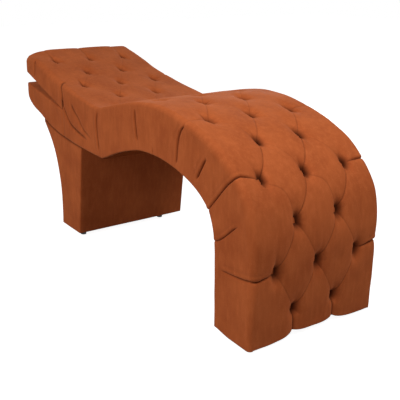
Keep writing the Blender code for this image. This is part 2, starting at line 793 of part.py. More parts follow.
def pedestal():
    inset = LINING_THICKNESS + GAP
    floor = GROUND_CLEARANCE
    outside = pedestal_outline(0.0, 0.0, GAP, floor)
    cover = prism("pedestal_cover", outside, -PEDESTAL_HALF, PEDESTAL_HALF, SUEDE)
    core = pedestal_outline(LINING_THICKNESS, LINING_THICKNESS, -OVERRUN, floor - OVERRUN)
    half = PEDESTAL_HALF - LINING_THICKNESS
    cut(cover, cutter("pedestal_core", lambda bm: add_prism(bm, core, -half, half)))
    half -= GAP
    board_top = floor + PEDESTAL_BOTTOM_THICKNESS
    low_front, _, low_rise = pedestal_faces(inset, inset, GAP, floor)
    high_front, _, high_rise = pedestal_faces(inset, inset, GAP, board_top)
    board = [low_front, high_front, high_rise[-1], low_rise[-1]]
    bottom_board = prism("pedestal_bottom_board", board, -half, half, PLY)
    wall_foot = board_top + GAP
    wall = pedestal_outline(inset, inset, GAP, wall_foot)
    inner = half - PEDESTAL_PANEL_THICKNESS
    for side, sign in SIDES:
        prism(f"pedestal_side_{side}", wall, sign * half, sign * inner, PLY)
    inner -= GAP
    drop = PEDESTAL_TOP_THICKNESS + 2 * GAP
    foot, top, rise = pedestal_faces(inset, inset, drop, wall_foot)
    back_foot, back_top, back_rise = pedestal_faces(
        inset + PEDESTAL_FRONT_THICKNESS, inset + BOARD_THICKNESS, drop, wall_foot
    )
    over_front = [p for p in top if p.x > back_top[0].x]
    prism("pedestal_front_board", [foot, *over_front, back_top[0], back_foot], -inner, inner, PLY)
    over_back = [p for p in top if p.x < back_top[-1].x]
    outline = [*over_back, *rise, *back_rise[::-1], back_top[-1]]
    prism("pedestal_back_board", outline, -inner, inner, PLY)
    shelf = pedestal_faces(inset, inset, GAP, wall_foot)[1]
    under = pedestal_faces(inset, inset, GAP + PEDESTAL_TOP_THICKNESS, wall_foot)[1]
    top_board = prism("pedestal_top_board", [*shelf, *under[::-1]], -inner, inner, PLY)
    return bottom_board, top_board


def bolts(boards):
    """The bolts that hold the pedestal to the cleats, and their holes."""
    shelf = UNDER.layer(-GAP - PEDESTAL_TOP_THICKNESS)
    spots = []
    side = HALF_WIDTH - BOLT_SIDE_INSET
    for x in bolt_places():
        for y in (-side, side):
            edges = (height_at(shelf, x - BOLT_HEAD_RADIUS), height_at(shelf, x + BOLT_HEAD_RADIUS))
            spots.append(Vector((x, y, min(edges) - GAP)))
    profile = [
        (BOLT_HEAD_RADIUS, -BOLT_HEAD_HEIGHT),
        (BOLT_HEAD_RADIUS, 0),
        (BOLT_RADIUS, 0),
        (BOLT_RADIUS, BOLT_LENGTH),
    ]
    for number, spot in enumerate(spots, 1):
        turned(f"pedestal_bolt_{number}", profile, spot, "Z", STEEL)

    def fill(bm):
        for spot in spots:
            add_cylinder(bm, spot, BOLT_RADIUS + 2 * GAP, 0, BOLT_LENGTH + GAP)

    holes = cutter("bolt_holes", fill)
    for board in boards:
        cut(board, holes)


def glides(boards):
    """Screw-in glides with a steel pad in a plastic cup, and their holes."""
    foot_side = HALF_WIDTH - FOOT_GLIDE_SIDE_INSET
    near = PEDESTAL_GLIDE_NEAR_INSET - HALF_WIDTH
    far = HALF_WIDTH - PEDESTAL_GLIDE_FAR_INSET
    places = {
        "foot": (
            (FOOT_FRONT_X - FOOT_GLIDE_OUTER_INSET, FOOT_BACK_X + FOOT_GLIDE_INNER_INSET),
            (-foot_side, foot_side),
        ),
        "pedestal": (
            (
                PEDESTAL_FRONT_FOOT_X - PEDESTAL_GLIDE_FRONT_INSET,
                PEDESTAL_BACK_FOOT_X + PEDESTAL_GLIDE_BACK_INSET,
            ),
            (near, far),
        ),
    }
    spots = {}
    for carrier, (along, across) in places.items():
        corners = [(x, y) for x in along for y in across]
        for number, (x, y) in enumerate(corners, 1):
            spots[f"{carrier}_glide_{number}"] = Vector((x, y, 0))
    seat = GROUND_CLEARANCE - GAP
    profile = [
        (GLIDE_PAD_RADIUS, 0),
        (GLIDE_RADIUS, GLIDE_RIM_HEIGHT / 3),
        (GLIDE_RADIUS, seat - GLIDE_RIM_HEIGHT / 3),
        (GLIDE_RADIUS - GLIDE_STEM_RADIUS / 2, seat),
        (GLIDE_STEM_RADIUS, seat),
        (GLIDE_STEM_RADIUS, seat + GLIDE_STEM_LENGTH),
    ]
    for name, spot in spots.items():
        turned(name, profile, spot, "Z", PLASTIC)

    def fill(bm):
        for spot in spots.values():
            high = seat + GLIDE_STEM_LENGTH + GAP
            add_cylinder(bm, spot, GLIDE_STEM_RADIUS + 2 * GAP, seat - OVERRUN, high)

    holes = cutter("glide_holes", fill)
    for board in boards:
        cut(board, holes)


def arm_outline():
    """The swinging arm's outline: a round knuckle on the hinge and a tail above the lining."""
    low = LINING_THICKNESS + GAP
    high = low + STRAP_HEIGHT
    end = -math.pi - math.asin(low / KNUCKLE_RADIUS)
    knuckle = []
    for k in range(ROUND_SIDES + 1):
        angle = KNUCKLE_START + (end - KNUCKLE_START) * k / ROUND_SIDES
        knuckle.append(Vector((math.cos(angle), math.sin(angle))) * KNUCKLE_RADIUS)
    tail = [Vector((-ARM_LENGTH, low)), Vector((-ARM_LENGTH, high)), Vector((-KNUCKLE_RADIUS, high))]
    return [*tail, *knuckle]


def toothed_strap(reach, length):
    """The fixed plate's outline, with ratchet teeth round the side that faces the headrest."""
    tail = Vector((math.cos(reach), math.sin(reach)))
    side = Vector((-tail.y, tail.x)) * STRAP_HEIGHT / 2
    leave = math.asin(STRAP_HEIGHT / 2 / TOOTH_ROOT_RADIUS)
    start = reach + leave + TOOTH_PITCH / 2
    count = int((2 * math.pi - 2 * leave - TOOTH_PITCH) / TOOTH_PITCH)
    outline = [tail * length + side]
    for k in range(count + 1):
        angle = start + TOOTH_PITCH * k
        for radius, turn in ((TOOTH_ROOT_RADIUS, -TOOTH_TIP_SHARE), (TOOTH_TIP_RADIUS, TOOTH_TIP_SHARE)):
            at = angle + turn * TOOTH_PITCH
            outline.append(Vector((math.cos(at), math.sin(at))) * radius)
    return [*outline, tail * length - side]


# The joint's frame: its X axis lies along the headrest's underside, with the tip at -X
headrest_axis = bpy.data.objects.new("headrest_axis", None)
bpy.context.scene.collection.objects.link(headrest_axis)
headrest_axis.location = (HINGE_X, 0, HINGE_Z)
headrest_axis.rotation_euler = (0, HEADREST_TILT, 0)

PLATE_OUTER = PANEL_INNER - GAP
PLATE_INNER = PLATE_OUTER - STRAP_THICKNESS
ARM_OUTER = PLATE_INNER - GAP
ARM_INNER = ARM_OUTER - STRAP_THICKNESS


def ratchet_hinges():
    """Each side's toothed plate, rivet, swinging arm and pawl."""
    plate_shape = [p + HINGE for p in toothed_strap(-PLATE_FALL, PLATE_LENGTH)]
    arm_shape = arm_outline()
    pawl_at = Vector((-PAWL_REACH, PAWL_LIFT))
    for side, sign in SIDES:
        ends = (sign * PLATE_OUTER, sign * PLATE_INNER)
        plate = prism(f"ratchet_plate_{side}", plate_shape, *ends, STEEL)
        ends = (sign * ARM_OUTER, sign * ARM_INNER)
        arm = prism(f"ratchet_arm_{side}", arm_shape, *ends, STEEL, headrest_axis)
        pawl(side, sign, pawl_at)
        rivet(side, sign, plate, arm)
        bar = pivot_bar(sign, pawl_at, PAWL_PIVOT_RADIUS + 2 * GAP, OVERRUN)
        cut(arm, cutter(f"pawl_hole_{side}", bar, headrest_axis))


def pivot_bar(sign, spot, radius, overrun):
    """Fills a mesh with a bar across the arm at a spot of the headrest's frame."""
    low = ARM_INNER - overrun
    high = PLATE_INNER + STRAP_THICKNESS / 2 + overrun

    def fill(bm):
        ends = sorted((sign * low, sign * high))
        add_cylinder(bm, (spot.x, 0, spot.y), radius, *ends, axis="Y")

    return fill


def pawl(side, sign, spot):
    """A pawl that points at the teeth, with a pivot through the arm."""
    toward = -spot.normalized()
    across = Vector((-toward.y, toward.x))
    reach = spot.length - TOOTH_TIP_RADIUS - GAP
    tip = spot + toward * reach
    hub = []
    for k in range(HUB_STEPS + 1):
        angle = math.pi / 2 + math.pi * k / HUB_STEPS
        hub.append(spot + (toward * math.cos(angle) + across * math.sin(angle)) * PAWL_HUB_RADIUS)
    outline = [tip + across * PAWL_TIP_WIDTH / 2, *hub, tip - across * PAWL_TIP_WIDTH / 2]
    ends = (sign * PLATE_OUTER, sign * PLATE_INNER)
    made = prism(f"ratchet_pawl_{side}", outline, *ends, STEEL, headrest_axis)
    bar = pivot_bar(sign, spot, PAWL_PIVOT_RADIUS, 0.0)
    cut(made, cutter(f"pawl_pivot_{side}", bar, headrest_axis), "UNION")


def rivet(side, sign, plate, arm):
    """The hinge's rivet, headed on the inside, through the plate and the arm."""
    inner = ARM_INNER - GAP
    profile = [
        (PIN_HEAD_RADIUS, inner - PIN_HEAD_HEIGHT),
        (PIN_HEAD_RADIUS, inner),
        (PIN_RADIUS, inner),
        (PIN_RADIUS, PLATE_OUTER),
    ]
    turned(f"ratchet_rivet_{side}", profile, (HINGE_X, 0, HINGE_Z), -sign, STEEL)

    def fill(bm):
        ends = sorted((sign * (ARM_INNER - OVERRUN), sign * (PLATE_OUTER + OVERRUN)))
        add_cylinder(bm, (HINGE_X, 0, HINGE_Z), PIN_RADIUS + 2 * GAP, *ends, axis="Y")

    hole = cutter(f"rivet_hole_{side}", fill)
    cut(plate, hole)
    cut(arm, hole)


def headrest_thickness(reach):
    """Thickness of the headrest at a reach from its hinge towards its tip."""
    share = reach / HEADREST_LENGTH
    return HEADREST_THICKNESS + (HEADREST_TIP_THICKNESS - HEADREST_THICKNESS) * share


def headrest_half_width(reach, inset=0.0):
    """Half the headrest's width, which rounds in at its two free corners."""
    into = reach - (HEADREST_LENGTH - HEADREST_CORNER)
    half = HALF_WIDTH - inset
    if into <= 0:
        return half
    radius = HEADREST_CORNER - inset
    into = min(into, radius)
    return half - radius + math.sqrt(max(radius**2 - into**2, 0))


def leaning(height):
    """How far from the hinge the headrest's back face lies at a height above its underside."""
    return height * math.tan(HEADREST_LEAN)


def lean_height(depth):
    """The height at which the headrest's back face meets a layer at a depth below its top."""
    fall = (HEADREST_TIP_THICKNESS - HEADREST_THICKNESS) / HEADREST_LENGTH
    return (HEADREST_THICKNESS - depth) / (1 - fall * math.tan(HEADREST_LEAN))


def headrest_pad():
    """The headrest's deep-buttoned top, its rows in step with those of the bed."""
    row_reach = HINGE_CLEARANCE + FIRST_TUFT_ROW + HEADREST_ROW_SHIFT
    stations = []
    top = lean_height(0.0)
    low = lean_height(COVER_THICKNESS)
    first = leaning(top)
    step = TUFT_PITCH / CUTS_PER_TUFT
    count = int((HEADREST_LENGTH + row_reach) / step)
    reaches = [k * step - row_reach for k in range(count, 0, -1)]
    tip_reach = HEADREST_LENGTH - HEADREST_CORNER / CORNER_STEPS
    sliver = SLIVER_SHARE * step
    reaches = [r for r in reaches if first + sliver < r < tip_reach - sliver]
    for reach in (HEADREST_LENGTH, tip_reach, *reaches):
        height = headrest_thickness(reach)
        half = headrest_half_width(reach)
        surface = Vector((-reach, height))
        row = -(reach + row_reach) / TUFT_PITCH
        stations.append((surface, Vector((-reach, height - COVER_THICKNESS)), row, half))
    row = -(first + row_reach) / TUFT_PITCH
    face = Vector((-leaning(top), top))
    stations.append((face, Vector((-leaning(low), low)), row, HALF_WIDTH))
    tufted("headrest_cover", stations, SUEDE, headrest_axis)
    return face, row


def headrest_plan(inset):
    """The headrest's plan from its back corner round the tip: (reach, y, follows the lean)."""
    side = HALF_WIDTH - inset
    radius = HEADREST_CORNER - inset
    turn_reach = HEADREST_LENGTH - HEADREST_CORNER
    near = [(0.0, side, True), (turn_reach, side, False)]
    for k in range(1, CORNER_STEPS + 1):
        angle = math.pi / 2 * k / CORNER_STEPS
        reach = turn_reach + radius * math.sin(angle)
        near.append((reach, side - radius + radius * math.cos(angle), False))
    return [(r, -y, lean) for r, y, lean in near] + near[::-1]


def headrest_spot(point, height):
    """A point of the plan at a height, on the leaning back face where the plan says so."""
    reach, y, lean = point
    if lean:
        reach = max(leaning(height), KNUCKLE_RADIUS + KNUCKLE_CLEARANCE) + GAP
    return (-reach, y, height)


def under_pad(point):
    """The height under the headrest's pad at a point of the plan."""
    reach, _, lean = point
    depth = COVER_THICKNESS + GAP
    return lean_height(depth) if lean else headrest_thickness(reach) - depth


def headrest_layer(name, inset, low, high, made_of):
    """A layer with the headrest's plan, up to a height or, without one, up to the pad."""
    bm = bmesh.new()
    plan = headrest_plan(inset)
    lower = [bm.verts.new(headrest_spot(p, low)) for p in plan]
    upper = [bm.verts.new(headrest_spot(p, high or under_pad(p))) for p in plan]
    join_rings(bm, [lower, upper])
    return finish(name, bm, made_of, headrest_axis)


def headrest_border():
    """The padded band round the headrest's two sides and tip."""
    bm = bmesh.new()
    rings = []
    for outer, inner in zip(headrest_plan(0.0), headrest_plan(SIDE_COVER_THICKNESS)):
        high = under_pad(outer)
        corners = ((outer, 0.0), (outer, high), (inner, high), (inner, 0.0))
        rings.append([bm.verts.new(headrest_spot(*corner)) for corner in corners])
    join_rings(bm, rings)
    return finish("headrest_border", bm, SUEDE, headrest_axis)


def headrest():
    inset = SIDE_COVER_THICKNESS + GAP
    frame_low = LINING_THICKNESS + GAP
    frame_high = frame_low + BEARER_DEPTH
    board_low = frame_high + GAP
    board_high = board_low + HEADREST_BOARD_THICKNESS
    headrest_border()
    headrest_layer("headrest_lining", inset, 0.0, LINING_THICKNESS, LINING)
    headrest_layer("headrest_board", inset, board_low, board_high, PLY)
    headrest_layer("headrest_foam", inset, board_high + GAP, None, FOAM)
    past_pin = KNUCKLE_RADIUS + KNUCKLE_CLEARANCE + PIN_HEAD_RADIUS
    start = max(past_pin, leaning(frame_high) + GAP)
    tip = HEADREST_LENGTH - HEADREST_CORNER
    bar = [(-start, frame_low), (-tip, frame_low), (-tip, frame_high), (-start, frame_high)]
    side_outer = ARM_INNER - PIN_HEAD_HEIGHT - 2 * GAP
    side_inner = side_outer - BEARER_WIDTH
    for side, sign in SIDES:
        ends = (sign * side_outer, sign * side_inner)
        prism(f"headrest_bearer_{side}", bar, *ends, TIMBER, headrest_axis)
    back = tip - BEARER_WIDTH
    rail = [(-tip, frame_low), (-tip, frame_high), (-back, frame_high), (-back, frame_low)]
    half = side_inner - GAP
    prism("headrest_rail", rail, -half, half, TIMBER, headrest_axis)


def hinge_fold(face, row):
    """The soft bridge over the hinge, which squashes as the headrest rises."""
    turn = Matrix.Rotation(-HEADREST_TILT, 2)

    def placed(spot):
        return HINGE + turn @ spot

    low = Vector((-leaning(FOLD_CLEARANCE) + GAP, FOLD_CLEARANCE))
    head_top = placed(face + Vector((GAP, 0)))
    head_low = placed(low)
    foot_top = TOP.points[0] - Vector((GAP, 0))
    foot_low = Vector((FACE_X - GAP, head_low.y))
    stations = []
    for k in range(FOLD_STEPS + 1):
        share = k / FOLD_STEPS
        surface = head_top.lerp(foot_top, share)
        seat = head_low.lerp(foot_low, share)
        stations.append((surface, seat, row + (TOP_ROWS[0] - row) * share, HALF_WIDTH))
    fold = tufted("hinge_fold", stations, SUEDE)
    over_arm = LINING_THICKNESS + STRAP_HEIGHT + FOLD_CLEARANCE
    lift = placed(Vector((-leaning(over_arm), over_arm))).y
    back = HINGE_X - HEADREST_THICKNESS
    front = FACE_X + OVERRUN
    space = [(back, HINGE_Z), (front, HINGE_Z), (front, lift), (back, lift)]
    cut(fold, cutter("hinge_space", lambda bm: add_prism(bm, space, -PANEL_INNER, PANEL_INNER)))


def build():
    seat_upholstery()
    side_covers()
    side_panels()
    made_rails, notches = rails()
    centre_rib(notches)
    boards = underside()
    foot_pieces = foot_end()
    pedestal_bottom, pedestal_top = pedestal()
    bolts([*boards.values(), made_rails["cleat_front"], made_rails["cleat_back"], pedestal_top])
    glides([*foot_pieces, pedestal_bottom])
    ratchet_hinges()
    face, row = headrest_pad()
    headrest()
    hinge_fold(face, row)


build()
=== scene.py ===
import json
import math

import bmesh
import bpy
import numpy as np
from mathutils import Matrix, Vector


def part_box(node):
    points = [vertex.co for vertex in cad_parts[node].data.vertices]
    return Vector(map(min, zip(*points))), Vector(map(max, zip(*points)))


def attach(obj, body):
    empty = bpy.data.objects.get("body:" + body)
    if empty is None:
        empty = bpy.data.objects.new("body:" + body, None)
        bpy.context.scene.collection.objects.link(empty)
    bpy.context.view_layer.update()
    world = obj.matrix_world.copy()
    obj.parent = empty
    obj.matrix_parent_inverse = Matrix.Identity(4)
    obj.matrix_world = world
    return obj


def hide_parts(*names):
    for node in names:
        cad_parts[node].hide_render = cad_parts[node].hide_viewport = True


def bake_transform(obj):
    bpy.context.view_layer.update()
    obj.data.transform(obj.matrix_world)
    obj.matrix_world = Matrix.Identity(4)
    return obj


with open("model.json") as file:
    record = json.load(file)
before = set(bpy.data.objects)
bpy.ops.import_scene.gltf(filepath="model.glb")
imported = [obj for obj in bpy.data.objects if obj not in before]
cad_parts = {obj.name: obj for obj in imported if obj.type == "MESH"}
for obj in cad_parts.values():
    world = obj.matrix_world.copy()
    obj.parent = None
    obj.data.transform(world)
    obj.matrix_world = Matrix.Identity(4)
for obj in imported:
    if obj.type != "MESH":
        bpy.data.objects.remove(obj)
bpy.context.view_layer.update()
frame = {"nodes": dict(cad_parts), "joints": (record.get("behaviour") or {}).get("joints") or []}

# Sizes of the bed, in metres, and places as shares of its length or height
BED_LENGTH = 1.90
BED_HEIGHT = 0.772
SLAB_THICKNESS = 0.199
FOOT_THICKNESS = 0.205
FOOT_FRONT_SHARE = 0.490
HEM_HEIGHT = 0.020
HALF_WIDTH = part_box("side_cover_far")[1].y
HINGE = frame["joints"][0]["pos_m"]
FACE_FROM_HINGE = 0.018
FACE_HEIGHT_SHARE = 0.9625
SIDE_PADDING = 0.0115
TOP_PADDING = 0.029
LINING = 0.004

# The headrest, the line that bridges it to the seat, and the fixed base under it
HEAD_LENGTH = 0.500
HEAD_THICKNESS = 0.119
HEAD_TIP_THICKNESS = 0.101
HEAD_TILT = math.radians(17.3)
HEAD_CORNER = 0.030
HEAD_LEAST_CORNER = 0.002
HEAD_UNDERCUT = 0.030
HEAD_UNDERCUT_FROM = 0.300
BRIDGE_REACH = 0.1096
BASE_TILT = math.radians(10.5)
BASE_DROP = 0.0015

# Buttoning: rows run along the bed, from the headrest to the foot, and columns across it
PITCH = 0.1706
SPACING = 0.097
FIRST_ROW_AT = 0.017
HEAD_ROW_AT = 0.0045
HEAD_ROW = -2
FOOT_ROW = 11
HINGE_ROW = -0.375
OUTER_COLUMN = 2
BUTTON_RADIUS = 0.0095
BUTTON_CROWN = 0.0035
BUTTON_BACK = 0.002
BUTTON_LIFT = 0.0015

# Grid cells to a row, over the plain band beside the buttons, round the edge and down half a side
CELLS = 32
BAND_CELLS = 20
EDGE_CELLS = 8
WALL_CELLS = 24
# The padding's inner face keeps every fourth line of the grid
INNER_STEP = 4
# Steps round the edges of the plain covers, and from one point of a curve to the next
ROUNDING_STEPS = 5
SPLINE_STEPS = 16

# The surface line of the bed, in shares of its length and height
TOP_SHARES = [
    (-0.221, 0.942), (-0.187, 0.926), (-0.147, 0.910), (-0.104, 0.894), (-0.074, 0.892),
    (-0.043, 0.911), (0.011, 0.943), (0.068, 0.974), (0.113, 0.991), (0.163, 1.000),
    (0.216, 0.995), (0.268, 0.974), (0.321, 0.942), (0.368, 0.899), (0.416, 0.836),
    (0.455, 0.753), (0.4805, 0.658), (0.4925, 0.550), (0.4968, 0.440), (0.4960, 0.324),
    (0.4928, 0.168),
]
# The underside from the foot to the head end's nose, in shares of the length and the arch's height
UNDER_SHARES = [
    (0.382, 0.349), (0.381, 0.558), (0.3725, 0.707), (0.353, 0.813), (0.321, 0.892),
    (0.273, 0.951), (0.204, 0.996), (0.133, 1.000), (0.082, 0.974), (0.016, 0.911),
    (-0.040, 0.840), (-0.062, 0.814), (-0.078, 0.812), (-0.130, 0.817), (-0.189, 0.829),
    (-0.288, 0.859), (-0.363, 0.909), (-0.425, 0.974), (-0.474, 1.028), (-0.4945, 1.080),
    (-0.5005, 1.143),
]

# How the upholstery changes from row to row, as (row, value) pairs
EDGE_RADII = [
    (-3.1, 0.024), (-2.5, 0.024), (-1.0, 0.032), (-0.4, 0.028), (0.5, 0.016), (2.0, 0.012),
    (4.0, 0.014), (5.0, 0.021), (7.0, 0.028), (10.0, 0.026), (11.0, 0.019), (12.0, 0.009),
]
RELIEF_SHARES = [
    (-2.6, 0.34), (-1.0, 0.30), (0.0, 0.30), (2.0, 0.34), (4.0, 0.42), (5.0, 0.50),
    (6.0, 0.64), (7.0, 0.86), (8.0, 1.0), (12.0, 1.0),
]
CROSS_FADES = [(-2.6, 0.95), (7.0, 0.92), (8.0, 0.45), (12.0, 0.5)]
ROW_DRIFTS = [
    (-3.0, 0.0), (0.0, 0.0), (1.0, 0.006), (4.0, 0.008), (5.0, 0.012), (6.0, 0.018),
    (7.0, 0.023), (8.0, 0.024), (9.0, 0.026), (10.0, 0.024), (12.0, 0.018),
]
PIT_SHARES = [
    (-2.6, 0.66), (0.0, 0.66), (4.0, 0.70), (6.0, 0.76), (7.0, 0.88), (8.0, 1.0), (12.0, 1.0),
]
EDGE_SHARES = [
    (-2.6, 0.25), (-0.4, 0.10), (1.0, 0.0), (4.0, 0.05), (5.0, 0.15), (6.0, 0.30), (7.0, 0.45),
    (8.0, 0.5), (12.0, 0.5),
]
LONG_BOWS = [
    (-3.0, 0.01), (4.0, 0.02), (5.0, 0.015), (6.0, 0.01), (7.0, 0.015), (8.0, 0.03), (9.0, 0.02),
    (10.0, 0.01), (11.0, 0.01),
]
CROSS_BOWS = [(-3.0, 0.0), (6.0, 0.02), (7.9, 0.02), (8.3, 0.14), (8.7, 0.14), (9.1, 0.0), (10.0, 0.0)]
NEAR_BAND_BOWS = [
    (-3.0, 0.0), (5.2, 0.0), (6.0, -0.04), (6.8, 0.0), (7.2, -0.01), (7.6, -0.13), (8.4, -0.13),
    (9.0, 0.0), (9.4, 0.0), (9.8, 0.06), (10.2, 0.06), (10.8, 0.0), (12.0, 0.0),
]
FAR_BAND_BOWS = [(-3.0, 0.0), (9.2, 0.0), (9.7, -0.10), (10.3, -0.10), (10.9, 0.0), (12.0, 0.0)]

# Where each row's line meets the underside on the side, as (row, x, z)
UNDER_PLACES = [
    (-0.375, -0.523, 0.490), (0.0, -0.450, 0.485), (1.0, -0.310, 0.473), (2.0, -0.150, 0.468),
    (3.0, 0.030, 0.527), (4.0, 0.206, 0.571), (5.0, 0.322, 0.573), (6.0, 0.485, 0.555),
    (7.0, 0.597, 0.523), (8.0, 0.697, 0.463), (9.0, 0.7235, 0.352), (10.0, 0.724, 0.250),
    (11.0, 0.726, 0.125), (12.0, 0.726, 0.020),
]
# Where each row's line passes a third and two thirds of the way down the side, as (row, x, z, x, z)
SIDE_PLACES = [
    (2.0, -0.1585, 0.617, -0.156, 0.547), (3.0, 0.022, 0.660, 0.018, 0.592),
    (4.0, 0.184, 0.697, 0.195, 0.633), (5.0, 0.348, 0.704, 0.325, 0.638),
    (6.0, 0.500, 0.678, 0.488, 0.617), (7.0, 0.668, 0.627, 0.630, 0.571),
    (8.0, 0.785, 0.561, 0.742, 0.517), (9.0, 0.850, 0.440, 0.785, 0.386),
    (10.0, 0.865, 0.258, 0.795, 0.2545),
]
STRAIGHT_BEFORE_ROW = 0.5
STRAIGHT_AFTER_ROW = 11.0


# Curves and tables
def spline(points, steps=SPLINE_STEPS):
    """A curve through every point, with its tangent at each set by the neighbours."""
    p = np.array(points, float)
    knots = np.vstack([2 * p[0] - p[1], p, 2 * p[-1] - p[-2]])
    t = np.arange(steps)[:, None] / steps
    runs = []
    for p0, p1, p2, p3 in zip(knots, knots[1:], knots[2:], knots[3:]):
        bend = (2 * p0 - 5 * p1 + 4 * p2 - p3) * t**2 + (3 * p1 - p0 - 3 * p2 + p3) * t**3
        runs.append((2 * p1 + (p2 - p0) * t + bend) / 2)
    return np.vstack([*runs, p[-1:]])


def run_lengths(points):
    return np.concatenate([[0.0], np.cumsum(np.linalg.norm(np.diff(points, axis=0), axis=1))])


def along(points, lengths, s):
    """Points at the lengths s along a run."""
    return np.stack([np.interp(s, lengths, points[:, k]) for k in range(2)], -1)


def unit(vectors):
    return vectors / np.linalg.norm(vectors, axis=-1, keepdims=True)


def outward(run):
    """The directions square to a run of x and z points, on its left."""
    step = unit(np.gradient(run, axis=0))
    return np.stack([-step[:, 1], step[:, 0]], -1)


def smoothed(values, reach):
    """Values averaged over a reach on both sides, which they lose at their ends."""
    weights = np.hanning(2 * reach + 1)
    return np.convolve(values, weights / weights.sum(), "valid")


def by_row(table, rows, steps=400, reach=11):
    """A table's value at each row, eased between its own rows."""
    keys, values = np.array(table, float).T
    fine = np.linspace(keys[0], keys[-1], steps)
    eased = smoothed(np.pad(np.interp(fine, keys, values), reach, mode="edge"), reach)
    return np.interp(rows, fine, eased)


def ease(t):
    t = np.clip(t, 0, 1)
    return t * t * (3 - 2 * t)


def from_head(reach, height):
    """Headrest coordinates, from the hinge to the tip and up from its underside, as x and z."""
    c, s = math.cos(HEAD_TILT), math.sin(HEAD_TILT)
    return HINGE[0] - reach * c + height * s, HINGE[2] + reach * s + height * c


def to_head(x, z):
    c, s = math.cos(HEAD_TILT), math.sin(HEAD_TILT)
    dx, dz = x - HINGE[0], z - HINGE[2]
    return -dx * c + dz * s, dx * s + dz * c


def head_height(reach):
    return HEAD_THICKNESS + (HEAD_TIP_THICKNESS - HEAD_THICKNESS) * reach / HEAD_LENGTH


def head_row(reach):
    return -(reach + HEAD_ROW_AT) / PITCH


def row_length(rows):
    """How far along the seat's surface a row lies."""
    return rows * PITCH + FIRST_ROW_AT + by_row(ROW_DRIFTS, rows)


def undercut(reach):
    """How far the headrest's foot edge lies inside its top edge near the tip."""
    share = (reach - HEAD_UNDERCUT_FROM) / (HEAD_LENGTH - HEAD_UNDERCUT_FROM)
    return HEAD_UNDERCUT * np.clip(share, 0, 1)


face = (HINGE[0] + FACE_FROM_HINGE, FACE_HEIGHT_SHARE * BED_HEIGHT)
foot = (FOOT_FRONT_SHARE * BED_LENGTH, HEM_HEIGHT)
foot_back = foot[0] - FOOT_THICKNESS
arch_height = BED_HEIGHT - SLAB_THICKNESS
top_run = spline([face, *[(x * BED_LENGTH, z * BED_HEIGHT) for x, z in TOP_SHARES], foot])
top_lengths = run_lengths(top_run)
LAST_ROW = (top_lengths[-1] - FIRST_ROW_AT - ROW_DRIFTS[-1][1]) / PITCH
under_run = spline(
    [(foot_back, HEM_HEIGHT), *[(x * BED_LENGTH, z * arch_height) for x, z in UNDER_SHARES]]
)
under_lengths = run_lengths(under_run)


class Surface:
    """The line along the top of the bed, by row: its points and its outward directions."""

    STEPS = 4000
    REACH = 30
    MARGIN = 0.15
    FIRST_ROW = -2.95

    def __init__(self):
        self.rows = np.linspace(self.FIRST_ROW, LAST_ROW + self.MARGIN, self.STEPS)
        row = self.rows[:, None]
        length = row_length(self.rows)
        beyond = (length - top_lengths[-1])[:, None]
        past_foot = top_run[-1] + unit(top_run[-1] - top_run[-4]) * beyond
        seat = np.where(beyond > 0, past_foot, along(top_run, top_lengths, length))
        last_head, first_seat = head_row(BRIDGE_REACH), -FIRST_ROW_AT / PITCH
        share = np.clip((row - last_head) / (first_seat - last_head), 0, 1)
        start = self.head_line(BRIDGE_REACH)
        points = np.where(row < last_head, self.head_line(-self.rows * PITCH - HEAD_ROW_AT),
                          start + (face - start) * share)
        points = np.where(row > first_seat, seat, points)
        count = np.arange(1, self.REACH + 1)[:, None]
        before = points[0] + (points[0] - points[1]) * count[::-1]
        after = points[-1] + (points[-1] - points[-2]) * count
        long = np.vstack([before, points, after])
        self.points = np.stack([smoothed(long[:, k], self.REACH) for k in range(2)], -1)
        self.normals = outward(self.points)

    @staticmethod
    def head_line(reach):
        return np.stack(from_head(reach, head_height(reach)), -1)

    def at(self, rows):
        return along(self.points, self.rows, rows)

    def out(self, rows):
        return unit(along(self.normals, self.rows, rows))


surface = Surface()


def under_at(rows, steps=600, reach=12):
    """Where each row's line meets the underside on the bed's side."""
    places = np.array(UNDER_PLACES)
    keys = places[:, 0]
    keys[-1] = LAST_ROW
    gaps = np.linalg.norm(under_run[:, None] - places[:, 1:], axis=-1)
    lengths = under_lengths[gaps.argmin(0)]
    lengths[-1] = 0.0
    fine = np.linspace(keys[0], keys[-1], steps)
    values = np.interp(fine, keys, lengths)
    before = 2 * values[0] - values[reach:0:-1]
    after = 2 * values[-1] - values[-2 : -2 - reach : -1]
    eased = smoothed(np.concatenate([before, values, after]), reach)
    return along(under_run, under_lengths, np.interp(rows, fine, eased))


# The upholstery's grid
PLEAT_GATHER = 0.6
HINGE_PULL_ROWS = 1.2


def plan_rows():
    """The row that each line of the grid lies on, drawn in at the head and at the foot."""
    domain = np.arange((FOOT_ROW + 1 - HEAD_ROW + 1) * CELLS + 1) / CELLS + HEAD_ROW - 1
    tip = head_row(HEAD_LENGTH - EDGE_RADII[0][1])
    rows = np.where(domain < HEAD_ROW, HEAD_ROW + (domain - HEAD_ROW) * (HEAD_ROW - tip), domain)
    rows = np.where(domain > FOOT_ROW, FOOT_ROW + (domain - FOOT_ROW) * (LAST_ROW - FOOT_ROW), rows)
    return domain, rows


# The grid's lanes run along the bed and are counted outwards from its middle
DOMAIN, ROWS = plan_rows()
HINGE_LINE = int(np.argmin(abs(DOMAIN - HINGE_ROW)))
TOP_CELLS = OUTER_COLUMN * CELLS
EDGE_AT = TOP_CELLS + BAND_CELLS
WALL_AT = EDGE_AT + EDGE_CELLS
MIDDLE_AT = WALL_AT + WALL_CELLS
BOTTOM_AT = MIDDLE_AT + WALL_CELLS


